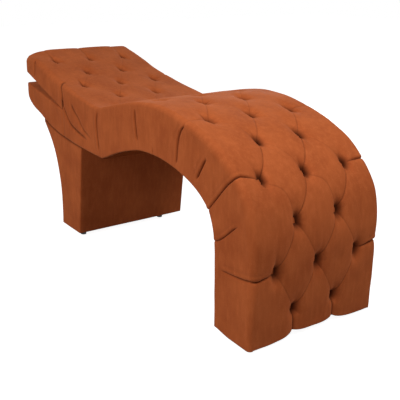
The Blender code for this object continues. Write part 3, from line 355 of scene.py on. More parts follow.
def bows(row, column, domain, fade):
    """How far the creases bow, as shifts of row and column."""
    u = (row + column) / 2
    v = (row - column) / 2
    across = by_row(LONG_BOWS, row) * np.sin(math.pi * v) ** 2
    along_it = -by_row(CROSS_BOWS, row) * np.sin(math.pi * u) ** 2
    keep = fade * np.clip(domain - HEAD_ROW + 1, 0, 1) * np.clip(FOOT_ROW + 1 - domain, 0, 1)
    return (across + along_it) * keep, (across - along_it) * keep


def round_corner(reach, y, radius):
    """Draws the headrest's plan in round its free corners."""
    inner = np.maximum(HEAD_CORNER - radius, HEAD_LEAST_CORNER)
    p = np.clip((reach - (HEAD_LENGTH - HEAD_CORNER)) / inner, 0, 1)
    q = np.clip((y - (HALF_WIDTH - HEAD_CORNER)) / inner, 0, 1)
    in_corner = (p > 0) & (q > 0)
    new_p = p * np.sqrt(1 - q * q / 2)
    new_q = q * np.sqrt(1 - p * p / 2)
    reach = np.where(in_corner, HEAD_LENGTH - HEAD_CORNER + inner * new_p, reach)
    y = np.where(in_corner, HALF_WIDTH - HEAD_CORNER + inner * new_q, y)
    return reach, y, new_p, new_q


class Skin:
    """Points of the upholstery before it is padded: where they lie and which way is out."""

    def __init__(self):
        row, index = np.meshgrid(ROWS, np.arange(-BOTTOM_AT, BOTTOM_AT + 1), indexing="ij")
        self.side = np.sign(index)
        self.sign = np.where(index < 0, -1.0, 1.0)
        self.lane = abs(index)
        self.domain = np.broadcast_to(DOMAIN[:, None], row.shape)
        self.share = (self.lane - WALL_AT) / (BOTTOM_AT - WALL_AT)
        gather = ease((self.lane - TOP_CELLS) / BAND_CELLS) * PLEAT_GATHER
        inside = (row > HEAD_ROW) & (row < FOOT_ROW)
        self.row = row - np.where(inside, gather * np.sin(2 * math.pi * row) / (2 * math.pi), 0)
        self.radius = by_row(EDGE_RADII, self.row)
        self.place()
        self.near_and_far_walls()

    def place(self):
        """The face between the rounded edges, and the rounded edges."""
        lane, row, r = self.lane, self.row, self.radius
        column = np.minimum(lane / CELLS, OUTER_COLUMN)
        band = np.clip((lane - TOP_CELLS) / BAND_CELLS, 0, 1)
        self.column = column * self.side
        self.band = band
        shift_row, shift_column = bows(row, self.column, self.domain, 1 - band)
        side_bow = np.where(self.side < 0, by_row(NEAR_BAND_BOWS, row), by_row(FAR_BAND_BOWS, row))
        y = column * SPACING + band * (HALF_WIDTH - r - OUTER_COLUMN * SPACING)
        reach, y, self.p, self.q = round_corner(-(row * PITCH + HEAD_ROW_AT), y, r)
        place_row = np.where(row < -1, head_row(reach), row) + shift_row + side_bow * band
        y = y + shift_column * SPACING * self.sign
        centre = surface.at(place_row)
        up = surface.out(place_row)
        turned = (row < -1) & (self.p > 0) & (lane >= EDGE_AT)
        out_reach = np.where(turned, self.p, 0.0)
        out_y = np.where(turned, self.q, 1.0)
        self.out = np.stack([-up[..., 1] * out_reach, out_y, up[..., 0] * out_reach], -1)
        self.up = np.stack([up[..., 0], np.zeros_like(y), up[..., 1]], -1)
        base = np.stack([centre[..., 0], y, centre[..., 1]], -1)
        self.flat = base.copy()
        self.flat[..., 1] *= self.sign
        r = r[..., None]
        angle = (np.clip((lane - EDGE_AT) / EDGE_CELLS, 0, 1) * math.pi / 2)[..., None]
        sunk = r * (1 - np.cos(angle))
        self.base = base + self.out * r * np.sin(angle) - self.up * sunk
        self.normal = self.up * np.cos(angle) + self.out * np.sin(angle)
        self.inward = np.where(lane >= EDGE_AT, (r * (1 - np.sin(angle)))[..., 0], SIDE_PADDING)
        self.below = sunk[..., 0]

    def near_and_far_walls(self):
        """Hangs both sides, which are laid out alike, and then turns the near half to its side."""
        self.wall(slice(0, BOTTOM_AT), self.base[:, BOTTOM_AT - WALL_AT].copy())
        self.wall(slice(BOTTOM_AT + 1, None), self.base[:, BOTTOM_AT + WALL_AT].copy())
        for vectors in (self.base, self.out, self.normal):
            vectors[..., 1] *= self.sign

    def wall(self, columns, line):
        """One side below its rounded edge, hung from the line where that edge ends."""
        rows = self.row[:, BOTTOM_AT - WALL_AT]
        t = np.clip(self.share[:, columns], 0, 1)[..., None]
        top = line[:, [0, 2]]
        bottom = under_at(np.clip(rows, HINGE_ROW, None))
        xz = top[:, None] + (bottom - top)[:, None] * t
        for first, at in ((1, 1 / 3), (3, 2 / 3)):
            shape = t * (t - 1 + at) * (t - 1) / (at * (2 * at - 1) * (at - 1))
            xz = xz + self.stray(rows, top, bottom, first, at)[:, None] * shape
        pull = np.array([HINGE[0], HINGE[2]]) - (top[HINGE_LINE] + bottom[HINGE_LINE]) / 2
        decay = ease(1 - (rows - HINGE_ROW) / HINGE_PULL_ROWS)[:, None, None]
        xz = xz + pull * (1 - abs(2 * t - 1)) * decay
        on_head = (np.arange(len(ROWS)) < HINGE_LINE)[:, None, None]
        low = self.headrest_foot(rows, top)
        xz = np.where(on_head, top[:, None] + (low - top)[:, None] * np.clip(2 * t, 0, 1), xz)
        is_wall = self.lane[:, columns] > WALL_AT
        y = np.broadcast_to(line[:, 1:2], is_wall.shape)
        fresh = np.stack([xz[..., 0], y, xz[..., 1]], -1)
        self.base[:, columns] = np.where(is_wall[..., None], fresh, self.base[:, columns])
        self.below[:, columns] += np.where(is_wall, np.linalg.norm(xz - top[:, None], axis=-1), 0)

    @staticmethod
    def headrest_foot(rows, top):
        """The foot edge of the headrest's side, row by row."""
        reach, _ = to_head(*top.T)
        near_hinge = (PITCH - HEAD_ROW_AT) * (HINGE_ROW - rows) / (HINGE_ROW + 1)
        reach = np.where(rows > -1, near_hinge, reach)
        return np.stack(from_head(reach - undercut(reach), 0.0), -1)

    @staticmethod
    def stray(rows, top, bottom, first, at):
        """How far the row lines stray from straight at a share of the way down."""
        places = np.array(SIDE_PLACES)
        nearest = abs(rows[:, None] - places[:, 0]).argmin(0)
        chord = top[nearest] + (bottom[nearest] - top[nearest]) * at
        keys = [STRAIGHT_BEFORE_ROW, *places[:, 0], STRAIGHT_AFTER_ROW]
        gaps = np.vstack([[0, 0], places[:, first : first + 2] - chord, [0, 0]])
        return np.stack([by_row(np.column_stack([keys, gap]), rows) for gap in gaps.T], -1)


skin = Skin()


# Relief of the upholstery, in metres
CROWN = 0.0045
LONG_CREASE = 0.0048
CROSS_CREASE = 0.0036
LONG_ROUNDING = 0.062
CROSS_ROUNDING = 0.050
LONG_FOLD = 0.0036
CROSS_FOLD = 0.0018
FOLD_WIDTH = 0.0028
LONG_FADE = 0.45
PIT_DEPTH = 0.028
PIT_RADIUS = 0.0155
PIT_SHARPNESS = 1.5
PIT_STRETCH = 0.48
DIMPLE_DEPTH = 0.0028
DIMPLE_RADIUS = 0.036
EDGE_FADE = 0.075
CLOTH_WAVES = 0.0009
CLOTH_WAVES_SEED = 3
CLOTH_WAVES_COUNT = 14
CLOTH_WAVES_LENGTH = (0.07, 0.22)

# Short folds that run into each button's pit
PIT_FOLDS = 7
PIT_FOLD_SEED = 7
PIT_FOLD_REACH = (0.022, 0.050)
PIT_FOLD_DEPTH = (0.0008, 0.0024)
PIT_FOLD_WIDTH = 0.0022
PIT_FOLD_SPREAD = 0.09
PIT_FOLD_TURN = 1.2
PIT_FOLD_START = 0.008

# The plain band beside the buttons, between the pleats at the foot
BAND_PUFF = 0.004
BAND_PUFF_REACH = 0.09
BAND_PUFF_FROM_ROW = 6
BAND_PUFF_ROWS_IN = 2
BAND_PUFF_TO_ROW = 11.4
BAND_PUFF_ROWS_OUT = 0.8

# Pleats down the sides: row, start and end down the side, depth and half width
SIDE_PLEATS = [
    (2.0, 0.00, 0.92, 0.0095, 0.0026), (4.0, 0.06, 0.84, 0.0092, 0.0026),
    (5.0, 0.76, 1.06, 0.0035, 0.0026), (6.0, -0.10, 0.92, 0.0080, 0.0026),
    (7.0, 0.20, 0.84, 0.0095, 0.0026), (8.0, -0.42, 1.20, 0.0058, 0.0023),
    (9.0, 0.24, 1.06, 0.0060, 0.0026), (10.0, -0.42, 0.82, 0.0080, 0.0030),
]
# A pleat's section: a groove, a raised lip beside it and a wide hollow round it, in half widths
PLEAT_SHARPNESS = 1.3
PLEAT_LIP = 0.35
PLEAT_LIP_AT = 4
PLEAT_LIP_WIDTH = 3
PLEAT_SPREAD = 0.25
PLEAT_SPREAD_WIDTH = 7
PLEAT_FADE_IN = 0.20
PLEAT_FADE_OUT = 0.16
# Folds at the hinge and one at the tip: x and z points on the near side, depth and half width
HINGE_FOLDS = [
    (
        [
            (-0.512, 0.712), (-0.515, 0.656), (-0.489, 0.612), (-0.434, 0.562), (-0.328, 0.534),
            (-0.230, 0.519),
        ],
        0.0100, 0.0075,
    ),
    (
        [(-0.425, 0.672), (-0.400, 0.640), (-0.354, 0.607), (-0.295, 0.560), (-0.190, 0.524)],
        0.0070, 0.0100,
    ),
    (
        [(-0.536, 0.758), (-0.527, 0.738), (-0.520, 0.703), (-0.514, 0.662), (-0.510, 0.630)],
        0.0072, 0.0080,
    ),
    ([(-0.836, 0.830), (-0.839, 0.785), (-0.848, 0.735)], 0.0075, 0.0060),
]
DRAWN_FOLD_STEPS = 12
DRAWN_FOLD_SHARPNESS = 1.5
DRAWN_FOLD_FADE_IN = 0.20
DRAWN_FOLD_FADE_OUT = 0.25
FAR_FOLD_SHIFT = (0.004, -0.003)
FAR_FOLD_SHARE = 0.8

# Where the cover turns in under the frame and at the hinge, and how much painted shade its folds and
# pits get
HEAD_SIDE_END = 0.5
SIDE_DEPTH = 0.21
BOTTOM_TUCK = 0.004
BOTTOM_TUCK_WIDTH = 0.006
HINGE_SEAM = 0.0055
HINGE_SEAM_WIDTH = 0.012
HINGE_SEAM_FADE = 0.06
PAINTED_SHADE_DEPTH = 0.0044
PIT_SHADE = 1.5
PIT_SHADE_FROM = 0.22


def rounding(distance, radius):
    """A pillow's rounded shoulder: 0 at the crease and 1 from the radius on."""
    q = np.clip(distance / radius, 0, 1)
    return np.sqrt(q * (2 - q))


def hollow(distance, radius):
    """A soft valley: 1 at its line and 0 from the radius on."""
    return np.clip(1 - distance / radius, 0, 1) ** 2


def bell(distance, width, power=2):
    """1 at a line or a point, dying away over a width."""
    return np.exp(-((distance / width) ** power))


def bottom_tuck(gap):
    """How far the cover draws in at a gap above the edge where it turns under."""
    return BOTTOM_TUCK * (1 - rounding(gap, BOTTOM_TUCK_WIDTH))


def tufting(row, column, domain_row):
    """Height of the deep-buttoned face over the line along the bed's top."""
    row = np.clip(row, HEAD_ROW, FOOT_ROW)
    column = np.clip(column, -OUTER_COLUMN, OUTER_COLUMN)
    crease_gap = 2 * PITCH * SPACING / math.hypot(PITCH, SPACING)
    u = (row + column) / 2
    v = (row - column) / 2
    off_long = abs(u - np.round(u)) * crease_gap
    off_cross = abs(v - np.round(v)) * crease_gap
    long_fade = 1 - LONG_FADE * np.sin(math.pi * v) ** 2
    cross_fade = 1 - by_row(CROSS_FADES, domain_row) * np.sin(math.pi * u) ** 2
    valley = LONG_CREASE * hollow(off_long, LONG_ROUNDING) * long_fade
    valley += CROSS_CREASE * hollow(off_cross, CROSS_ROUNDING) * cross_fade
    fold = LONG_FOLD * np.exp(-off_long / FOLD_WIDTH) * long_fade
    fold += CROSS_FOLD * np.exp(-off_cross / FOLD_WIDTH) * cross_fade
    return by_row(RELIEF_SHARES, domain_row) * (CROWN - valley - fold)


def button_places():
    """Row and column of each button: three on the even rows and two on the odd ones."""
    rows = range(HEAD_ROW, FOOT_ROW + 1)
    return [(row, column) for row in rows for column in ((-1, 1) if row % 2 else (-2, 0, 2))]


def pits(row, column):
    """The funnels that the buttons pull in, with short folds that run into them."""
    depth = np.zeros_like(row)
    draw = np.random.default_rng(PIT_FOLD_SEED)
    for at_row, at_column in button_places():
        along_it = (row - at_row) * PITCH
        across = (column - at_column) * SPACING
        angle = np.arctan2(across, along_it)
        distance = np.hypot(along_it * PIT_STRETCH, across)
        share, relief_share = by_row(PIT_SHARES, at_row), by_row(RELIEF_SHARES, at_row)
        depth -= share * PIT_DEPTH * bell(distance, PIT_RADIUS, PIT_SHARPNESS)
        depth -= relief_share * DIMPLE_DEPTH * bell(distance, DIMPLE_RADIUS)
        for _ in range(PIT_FOLDS):
            lie = draw.uniform(-math.pi, math.pi)
            reach = draw.uniform(*PIT_FOLD_REACH)
            strength = draw.uniform(*PIT_FOLD_DEPTH) * (0.5 + 0.5 * relief_share)
            turn = abs((angle - lie + math.pi) % (2 * math.pi) - math.pi)
            fold = bell(turn * distance, PIT_FOLD_WIDTH + PIT_FOLD_SPREAD * distance)
            faded = ease(distance / PIT_FOLD_START) * ease(2 * (1 - distance / reach))
            depth -= strength * fold * faded * (turn < PIT_FOLD_TURN)
    return depth


def side_groove(row_line, start, end, depth, width):
    """A pleat down both sides along a row's line, from a share of the way down to another."""
    line = int(np.argmin(abs(skin.row[:, BOTTOM_AT + WALL_AT] - row_line)))
    gap = np.linalg.norm(skin.base - skin.base[line], axis=-1)
    offset = gap * np.sign(np.arange(len(ROWS)) - line)[:, None]
    window = ease((skin.share - start) / PLEAT_FADE_IN) * ease((end - skin.share) / PLEAT_FADE_OUT)
    lip = PLEAT_LIP * bell(offset + PLEAT_LIP_AT * width, PLEAT_LIP_WIDTH * width)
    groove = bell(gap, width, PLEAT_SHARPNESS)
    spread = PLEAT_SPREAD * bell(gap, PLEAT_SPREAD_WIDTH * width)
    return np.where(skin.lane >= TOP_CELLS, window * depth * (lip - groove - spread), 0)


def drawn_fold(points, depth, width, side):
    """A soft fold on a side along a free line of x and z points."""
    run = spline(points, DRAWN_FOLD_STEPS)
    x, z = skin.base[..., 0], skin.base[..., 2]
    best = np.full(x.shape, np.inf)
    place = np.zeros(x.shape)
    for share, (px, pz) in zip(np.linspace(0, 1, len(run)), run):
        distance = np.hypot(x - px, z - pz)
        place = np.where(distance < best, share, place)
        best = np.minimum(distance, best)
    window = ease(place / DRAWN_FOLD_FADE_IN) * ease((1 - place) / DRAWN_FOLD_FADE_OUT)
    here = (skin.side == side) & (skin.lane >= EDGE_AT)
    return np.where(here, -depth * window * bell(best, width, DRAWN_FOLD_SHARPNESS), 0)


def waves(seed, count, shortest, longest):
    """Slow unevenness over the whole upholstery."""
    draw = np.random.default_rng(seed)
    total = np.zeros(skin.row.shape)
    for _ in range(count):
        direction = unit(draw.normal(size=3))
        length = draw.uniform(shortest, longest)
        phase = draw.uniform(0, 2 * math.pi)
        total += np.sin(2 * math.pi * (skin.base @ direction) / length + phase)
    return total / math.sqrt(count)


def relief():
    """How far each point of the upholstery stands out from its base."""
    s = skin
    past_edge = s.lane > EDGE_AT
    beyond = np.clip(s.below, 0, None) * past_edge
    edge_share = by_row(EDGE_SHARES, s.row)
    on_face = 1 + (edge_share - 1) * ease(s.band)
    fade = np.where(past_edge, edge_share * np.exp(-beyond / EDGE_FADE), on_face)
    total = tufting(s.domain, s.column, s.row) * fade
    total += pits(np.clip(s.domain, HEAD_ROW - 1, FOOT_ROW + 1), s.column + s.side * s.band)
    puffed = np.sin(math.pi * s.row / 2) ** 2 * ease(s.band)
    puffed *= ease((s.row - BAND_PUFF_FROM_ROW) / BAND_PUFF_ROWS_IN)
    puffed *= ease((BAND_PUFF_TO_ROW - s.row) / BAND_PUFF_ROWS_OUT)
    total += BAND_PUFF * puffed * np.exp(-beyond / BAND_PUFF_REACH)
    for pleat in SIDE_PLEATS:
        total += side_groove(*pleat)
    for points, depth, width in HINGE_FOLDS:
        total += drawn_fold(points, depth, width, -1)
        total += drawn_fold(np.add(points, FAR_FOLD_SHIFT), depth * FAR_FOLD_SHARE, width, 1)
    total += CLOTH_WAVES * waves_of_cloth
    bottom = np.where(np.arange(len(ROWS))[:, None] < HINGE_LINE, HEAD_SIDE_END, 1.0)
    gap = np.clip(bottom - s.share, 0, 1) * SIDE_DEPTH
    total -= np.where(s.lane > WALL_AT, bottom_tuck(gap), 0)
    seam = HINGE_SEAM * (1 - rounding(abs(s.row - HINGE_ROW) * PITCH, HINGE_SEAM_WIDTH))
    seam = seam * ease((s.share - HEAD_SIDE_END) / HINGE_SEAM_FADE)
    return total - np.where(s.lane > MIDDLE_AT, seam, 0)


def painted_fold_shade(height, reach=3):
    """Painted shade: how deep each point lies in a fold or a pit, from 0 to 1, against the cloth round
    it, which sets how much dark colour is painted there.
    """
    size = 2 * reach + 1
    padded = np.pad(height, reach, mode="edge")
    total = np.zeros(height.shape)
    for i in range(size):
        for j in range(size):
            total += padded[i : i + height.shape[0], j : j + height.shape[1]]
    return np.clip((total / size**2 - height) / PAINTED_SHADE_DEPTH, 0, 1)


waves_of_cloth = waves(CLOTH_WAVES_SEED, CLOTH_WAVES_COUNT, *CLOTH_WAVES_LENGTH)
skin.relief = relief()
# Painted shade: the share of the dark suede colour painted into the cover's folds, creases and pits,
# stored on its points
painted_pit_shade = np.clip(PIT_SHADE * (-skin.relief / PIT_DEPTH - PIT_SHADE_FROM), 0, 1)
skin.tuck = np.maximum(painted_fold_shade(skin.relief), painted_pit_shade)

# The front hem, drawn up under the last two buttons: how far it hangs from its straight line, in metres
HEM_CUSP_AT = 0.100
HEM_CUSP_RISE = 0.016
HEM_SAG_INSIDE = 0.011
HEM_SAG_OUTSIDE = 0.025
HEM_REACH_INSIDE = 0.075
HEM_REACH_OUTSIDE = 0.140
HEM_SIDE_SAG = 0.011
HEM_SIDE_REACH = 0.10

# The headrest's soft tip: how far its face bulges, and how far its free corners sink
TIP_BULGE = 0.004
TIP_RELIEF_FADE = 0.045
CORNER_DROOP = 0.036
DROOP_REACH = 0.14
DROOP_WIDTH = 0.12
FAR_DROOP_SHARE = 0.15

# Points closer than these are one point
COVER_MERGE = 0.00012
WRAP_MERGE = 0.00005
FOAM_MERGE = 0.00002


def hang_hem():
    """The front hem is drawn up under the last two buttons, and sags between them."""
    y = abs(skin.base[..., 1])
    inside = y < HEM_CUSP_AT
    reach = np.where(inside, HEM_REACH_INSIDE, HEM_REACH_OUTSIDE)
    sag = np.where(inside, HEM_SAG_INSIDE, HEM_SAG_OUTSIDE)
    front = HEM_CUSP_RISE - sag * rounding(abs(y - HEM_CUSP_AT), reach)
    side = -HEM_SIDE_SAG * ease((skin.base[..., 0] - foot_back) / HEM_SIDE_REACH)
    hang = np.where(skin.lane >= EDGE_AT, side, front)
    skin.base[..., 2] += ease(skin.domain - FOOT_ROW) * hang


def droop(points):
    """Sinks the headrest's top towards its free corners, most at the near one."""
    reach, height = to_head(points[..., 0], points[..., 2])
    near_tip = ease((reach - HEAD_LENGTH + DROOP_REACH) / DROOP_REACH)
    near_side = np.clip((abs(points[..., 1]) - HALF_WIDTH + DROOP_WIDTH) / DROOP_WIDTH, 0, 1) ** 2
    up_share = np.clip(height / head_height(reach), 0, 1)
    side_share = np.where(points[..., 1] < 0, 1.0, FAR_DROOP_SHARE)
    sunk = points.copy()
    sunk[..., 2] -= CORNER_DROOP * near_tip * near_side * up_share * side_share
    return sunk


def stand(name, data):
    """A new object in the scene."""
    made = bpy.data.objects.new(name, data)
    bpy.context.scene.collection.objects.link(made)
    return made


def corners_of(ids):
    """The four vertex numbers round each cell of a grid."""
    return np.stack([ids[:-1, :-1], ids[1:, :-1], ids[1:, 1:], ids[:-1, 1:]], -1)


class Mesh:
    """Vertices and faces gathered for one piece, with the share of painted shade at each vertex."""

    def __init__(self):
        self.points = []
        self.painted_shades = []
        self.faces = []
        self.count = 0

    def add(self, points, tuck=0.0):
        points = np.asarray(points, float).reshape(-1, 3)
        ids = np.arange(self.count, self.count + len(points))
        self.points.append(points)
        self.painted_shades.append(np.broadcast_to(tuck, len(points)))
        self.count += len(points)
        return ids

    def quads(self, ids):
        """Faces over a grid of vertex numbers, leaving out those with a number below zero."""
        corners = corners_of(ids)
        self.faces += corners[corners.min(-1) >= 0].tolist()

    def build(self, name, merge=0.0):
        mesh = bpy.data.meshes.new(name)
        mesh.from_pydata(np.vstack(self.points).tolist(), [], self.faces)
        # The share of painted shade at each vertex, kept as a point attribute for the suede to read
        depth = mesh.attributes.new("tuck", "FLOAT", "POINT")
        depth.data.foreach_set("value", np.concatenate(self.painted_shades).astype(np.float32))
        bm = bmesh.new()
        bm.from_mesh(mesh)
        if merge:
            bmesh.ops.remove_doubles(bm, verts=bm.verts, dist=merge)
            bmesh.ops.dissolve_degenerate(bm, edges=bm.edges, dist=merge / 4)
        bmesh.ops.recalc_face_normals(bm, faces=bm.faces)
        bm.to_mesh(mesh)
        bm.free()
        mesh.shade_smooth()
        return stand(name, mesh)


def inner_points(base, out, up, inward, below):
    """The padding's inner face, square inside the rounded edges."""
    in_by = np.clip(SIDE_PADDING - inward, 0, None)[..., None]
    down_by = np.clip(TOP_PADDING - below, 0, None)[..., None]
    return base - out * in_by - up * down_by


def creased_faces(ids, mesh):
    """Faces over the grid, the buttoned ones divided along their creases."""
    corners = corners_of(ids)
    kept = corners.min(-1) >= 0
    middle_row = (DOMAIN[:-1] + DOMAIN[1:])[:, None] / 2
    column = (np.arange(-BOTTOM_AT, BOTTOM_AT) + 0.5)[None, :] / CELLS
    buttoned = (abs(column) < OUTER_COLUMN) & (middle_row > HEAD_ROW) & (middle_row < FOOT_ROW)
    parity = (np.floor(middle_row) + np.floor(column)) % 2
    mesh.faces += corners[kept & ~buttoned].tolist()
    for odd, first, second in ((0, (0, 1, 2), (0, 2, 3)), (1, (0, 1, 3), (1, 2, 3))):
        chosen = corners[kept & buttoned & (parity == odd)]
        mesh.faces += chosen[:, first].tolist() + chosen[:, second].tolist()


def tip_wall(columns):
    """The padded face that closes the headrest's tip: its levels below the first grid line."""
    edge, up, p, q, side, radius = (
        values[0, columns]
        for values in (skin.flat, skin.up, skin.p, skin.q, skin.sign, skin.radius)
    )
    toward = np.stack([-up[:, 2], np.zeros(len(up)), up[:, 0]], -1)
    out = toward * p[:, None] + np.array([0, 1, 0]) * (q * side)[:, None]
    r = radius[:, None]
    levels = []
    for angle in np.linspace(0, math.pi / 2, EDGE_CELLS + 1):
        s, c = math.sin(angle), math.cos(angle)
        base = edge + out * r * s - up * r * (1 - c)
        levels.append((base, out, up, up * c + out * s, radius * (1 - s), radius * (1 - c)))
    start = levels[-1][0]
    reach, height = to_head(start[:, 0], start[:, 2])
    foot_x, foot_z = from_head(reach - undercut(reach), 0.0)
    low = np.stack([foot_x, start[:, 1], foot_z], -1)
    for share in np.arange(1, WALL_CELLS + 1) / WALL_CELLS:
        base = start + (low - start) * share
        levels.append((base, out, up, out, 0 * radius, radius + height * share))
    return [np.stack(group) for group in zip(*levels)]


def tip_grid(ids, columns, levels):
    """Vertex numbers of the tip's face, which shares its top and its two sides with the cover."""
    tip_ids = np.full((levels, columns.stop - columns.start), -1)
    tip_ids[0] = ids[0, columns]
    for k in range(1, levels):
        tip_ids[k, 0] = ids[0, columns.start - k]
        tip_ids[k, -1] = ids[0, columns.stop - 1 + k]
    return tip_ids


def coarse(shape):
    """The points of a grid that the padding's inner face keeps."""
    kept = np.zeros(shape, bool)
    kept[::INNER_STEP, ::INNER_STEP] = True
    return kept


def rim(mesh, outer_run, inner_run):
    """Faces that close the gap between a fine outer run and a coarse inner one."""
    half = INNER_STEP // 2
    for k in range(0, len(outer_run) - 1, INNER_STEP):
        first, second = inner_run[k], inner_run[k + INNER_STEP]
        for m in range(INNER_STEP):
            mesh.faces.append([outer_run[k + m], outer_run[k + m + 1], first if m < half else second])
        mesh.faces.append([outer_run[k + half], second, first])


def tufted_cover():
    """The one padded cover from the headrest's tip to the foot, closed on its inner side."""
    s = skin
    mesh = Mesh()
    on_head = (s.domain < HINGE_ROW)[..., None]
    outer = s.base + s.normal * s.relief[..., None]
    inner = inner_points(s.flat_base, s.out, s.up, s.inward, s.below)
    outer = np.where(on_head, droop(outer), outer)
    inner = np.where(on_head, droop(inner), inner)
    used = (s.lane <= MIDDLE_AT) | (np.arange(len(ROWS))[:, None] >= HINGE_LINE)
    ids = np.full(s.row.shape, -1)
    # Each outer point carries its share of painted shade
    ids[used] = mesh.add(outer[used], s.tuck[used])
    creased_faces(ids, mesh)

    columns = slice(BOTTOM_AT - EDGE_AT, BOTTOM_AT + EDGE_AT + 1)
    base, out, up, normal, inward, below = tip_wall(columns)
    last_level = len(base) - 1
    level = np.arange(len(base))[:, None]
    creases = s.relief[0, columns] - CLOTH_WAVES * waves_of_cloth[0, columns]
    tip_height = HEAD_TIP_THICKNESS - s.radius[0, BOTTOM_AT]
    lift = creases * np.exp(-np.clip(below, 0, None) / TIP_RELIEF_FADE)
    lift = lift - bottom_tuck((last_level - level) * tip_height / WALL_CELLS)
    lift = lift + TIP_BULGE * np.sin(math.pi * level / last_level) * np.clip(s.p[0, columns], 0, 1)
    tip_outer = droop(base + normal * lift[..., None])
    tip_ids = tip_grid(ids, columns, len(base))
    free = tip_ids < 0
    tip_ids[free] = mesh.add(tip_outer[free])
    mesh.quads(tip_ids)

    inner_ids = np.full(ids.shape, -1)
    chosen = coarse(ids.shape) & used
    inner_ids[chosen] = mesh.add(inner[chosen])
    mesh.quads(inner_ids[::INNER_STEP, ::INNER_STEP])
    tip_inner = droop(inner_points(base, out, up, inward, below))
    tip_inner_ids = tip_grid(inner_ids, columns, len(base))
    free = coarse(tip_ids.shape) & (tip_inner_ids < 0)
    tip_inner_ids[free] = mesh.add(tip_inner[free])
    mesh.quads(tip_inner_ids[::INNER_STEP, ::INNER_STEP])

    on_bed, on_headrest = slice(HINGE_LINE, None), slice(0, HINGE_LINE + 1)
    near_middle, far_middle = BOTTOM_AT - MIDDLE_AT, BOTTOM_AT + MIDDLE_AT
    runs = [
        (on_bed, 0), (HINGE_LINE, slice(0, near_middle + 1)), (on_headrest, near_middle),
        (on_headrest, far_middle), (HINGE_LINE, slice(far_middle, None)), (on_bed, -1),
        (-1, slice(0, None)),
    ]
    for place in runs:
        rim(mesh, ids[place], inner_ids[place])
    rim(mesh, tip_ids[-1], tip_inner_ids[-1])
    return mesh.build("tufted_cover", merge=COVER_MERGE)


skin.flat_base = skin.base.copy()
hang_hem()
cover = tufted_cover()
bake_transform(cover)
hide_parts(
    "main_cover", "side_cover_near", "side_cover_far", "hinge_fold", "headrest_cover",
    "headrest_border",
)


# The fixed base's cover, under the headrest
SHELL_START = HINGE[0] + 0.012
SHELL_EDGE = 0.0075
SHELL_END_EDGE = 0.001
LARGEST_EDGE_SHARE = 0.45
SHELL_CORNER = 0.018
SHELL_CORNER_FULLNESS = 0.98
SHELL_THICKNESS = 0.004
SHELL_STATIONS = 60
SHELL_LEVELS = 16
SHELL_ACROSS = 48
SHELL_TUCK = 0.006
SHELL_TUCK_REACH = 0.03
SHELL_TUCK_FROM_Y = 0.25
SHELL_SWAY = 0.0006
SHELL_WALL = 0.002
NOSE_GAP = 0.002
NOSE_LEAN = 0.006

# Waves of unevenness: how fast each turns along x, y and z, its phase and its share
SHELL_WAVES = [(31, 0, 40, 0.0, 1.0), (57, 0, -23, 1.0, 1.0)]
PEDESTAL_FRONT_WAVES = [(0, 13, 6, 0.0, 0.5), (0, -7, 17, 0.7, 0.5)]
PEDESTAL_SIDE_WAVES = [(39, 0, 11, 0.0, 0.6), (23, 0, -19, 2.0, 0.4)]
# The same along a lining and across it
LINING_WAVES = [(150, 0, 0.0, 1.0), (83, 9, 1.3, 0.6)]


def sway(points, table):
    """The sum of a table's waves at each point."""
    return sum(share * np.sin(points @ np.array(turns) + phase) for *turns, phase, share in table)


def base_top(x):
    """Height of the base's upper face at an x."""
    return HINGE[2] - BASE_DROP + (HINGE[0] - x) * math.tan(BASE_TILT)


def loop_points(low, high, half, edge, levels, across):
    """A rounded box section between a low and a high point: x, y, z of each of its points."""
    height = np.linalg.norm(high - low)
    rise = (high - low) / height
    edge = min(edge, height * LARGEST_EDGE_SHARE)
    turn = np.linspace(0, math.pi / 2, ROUNDING_STEPS + 1)[1:-1]
    flat = np.linspace(-1, 1, across) * (half - edge)
    corner = [(half - edge + edge * math.sin(a), edge * (1 - math.cos(a))) for a in turn]
    side = [(half, h) for h in np.linspace(edge, height - edge, levels)]
    far = corner + side + [(y, height - h) for y, h in corner[::-1]]
    spots = [(y, 0.0) for y in flat] + far + [(y, height) for y in flat[::-1]]
    spots += [(-y, h) for y, h in far[::-1]]
    return np.array([(low[0] + rise[0] * h, y, low[1] + rise[1] * h) for y, h in spots])


def tube(name, loops, painted_shades, capped=False):
    """A surface through closed loops of points, each loop with its share of painted shade, the last one
    filled in where it is capped.
    """
    mesh = Mesh()
    ids = np.stack([mesh.add(loop, tuck) for loop, tuck in zip(loops, painted_shades)])
    mesh.quads(np.concatenate([ids, ids[:, :1]], 1))
    if capped:
        mesh.faces.append(ids[-1].tolist())
    return mesh.build(name, merge=WRAP_MERGE)


def apply_modifiers(piece):
    bpy.ops.object.select_all(action="DESELECT")
    piece.select_set(True)
    bpy.context.view_layer.objects.active = piece
    for modifier in list(piece.modifiers):
        bpy.ops.object.modifier_apply(modifier=modifier.name)


def thicken(piece, thickness):
    """Gives an open surface its thickness, on its inner side."""
    solid = piece.modifiers.new("thickness", "SOLIDIFY")
    solid.thickness = thickness
    solid.offset = -1
    apply_modifiers(piece)


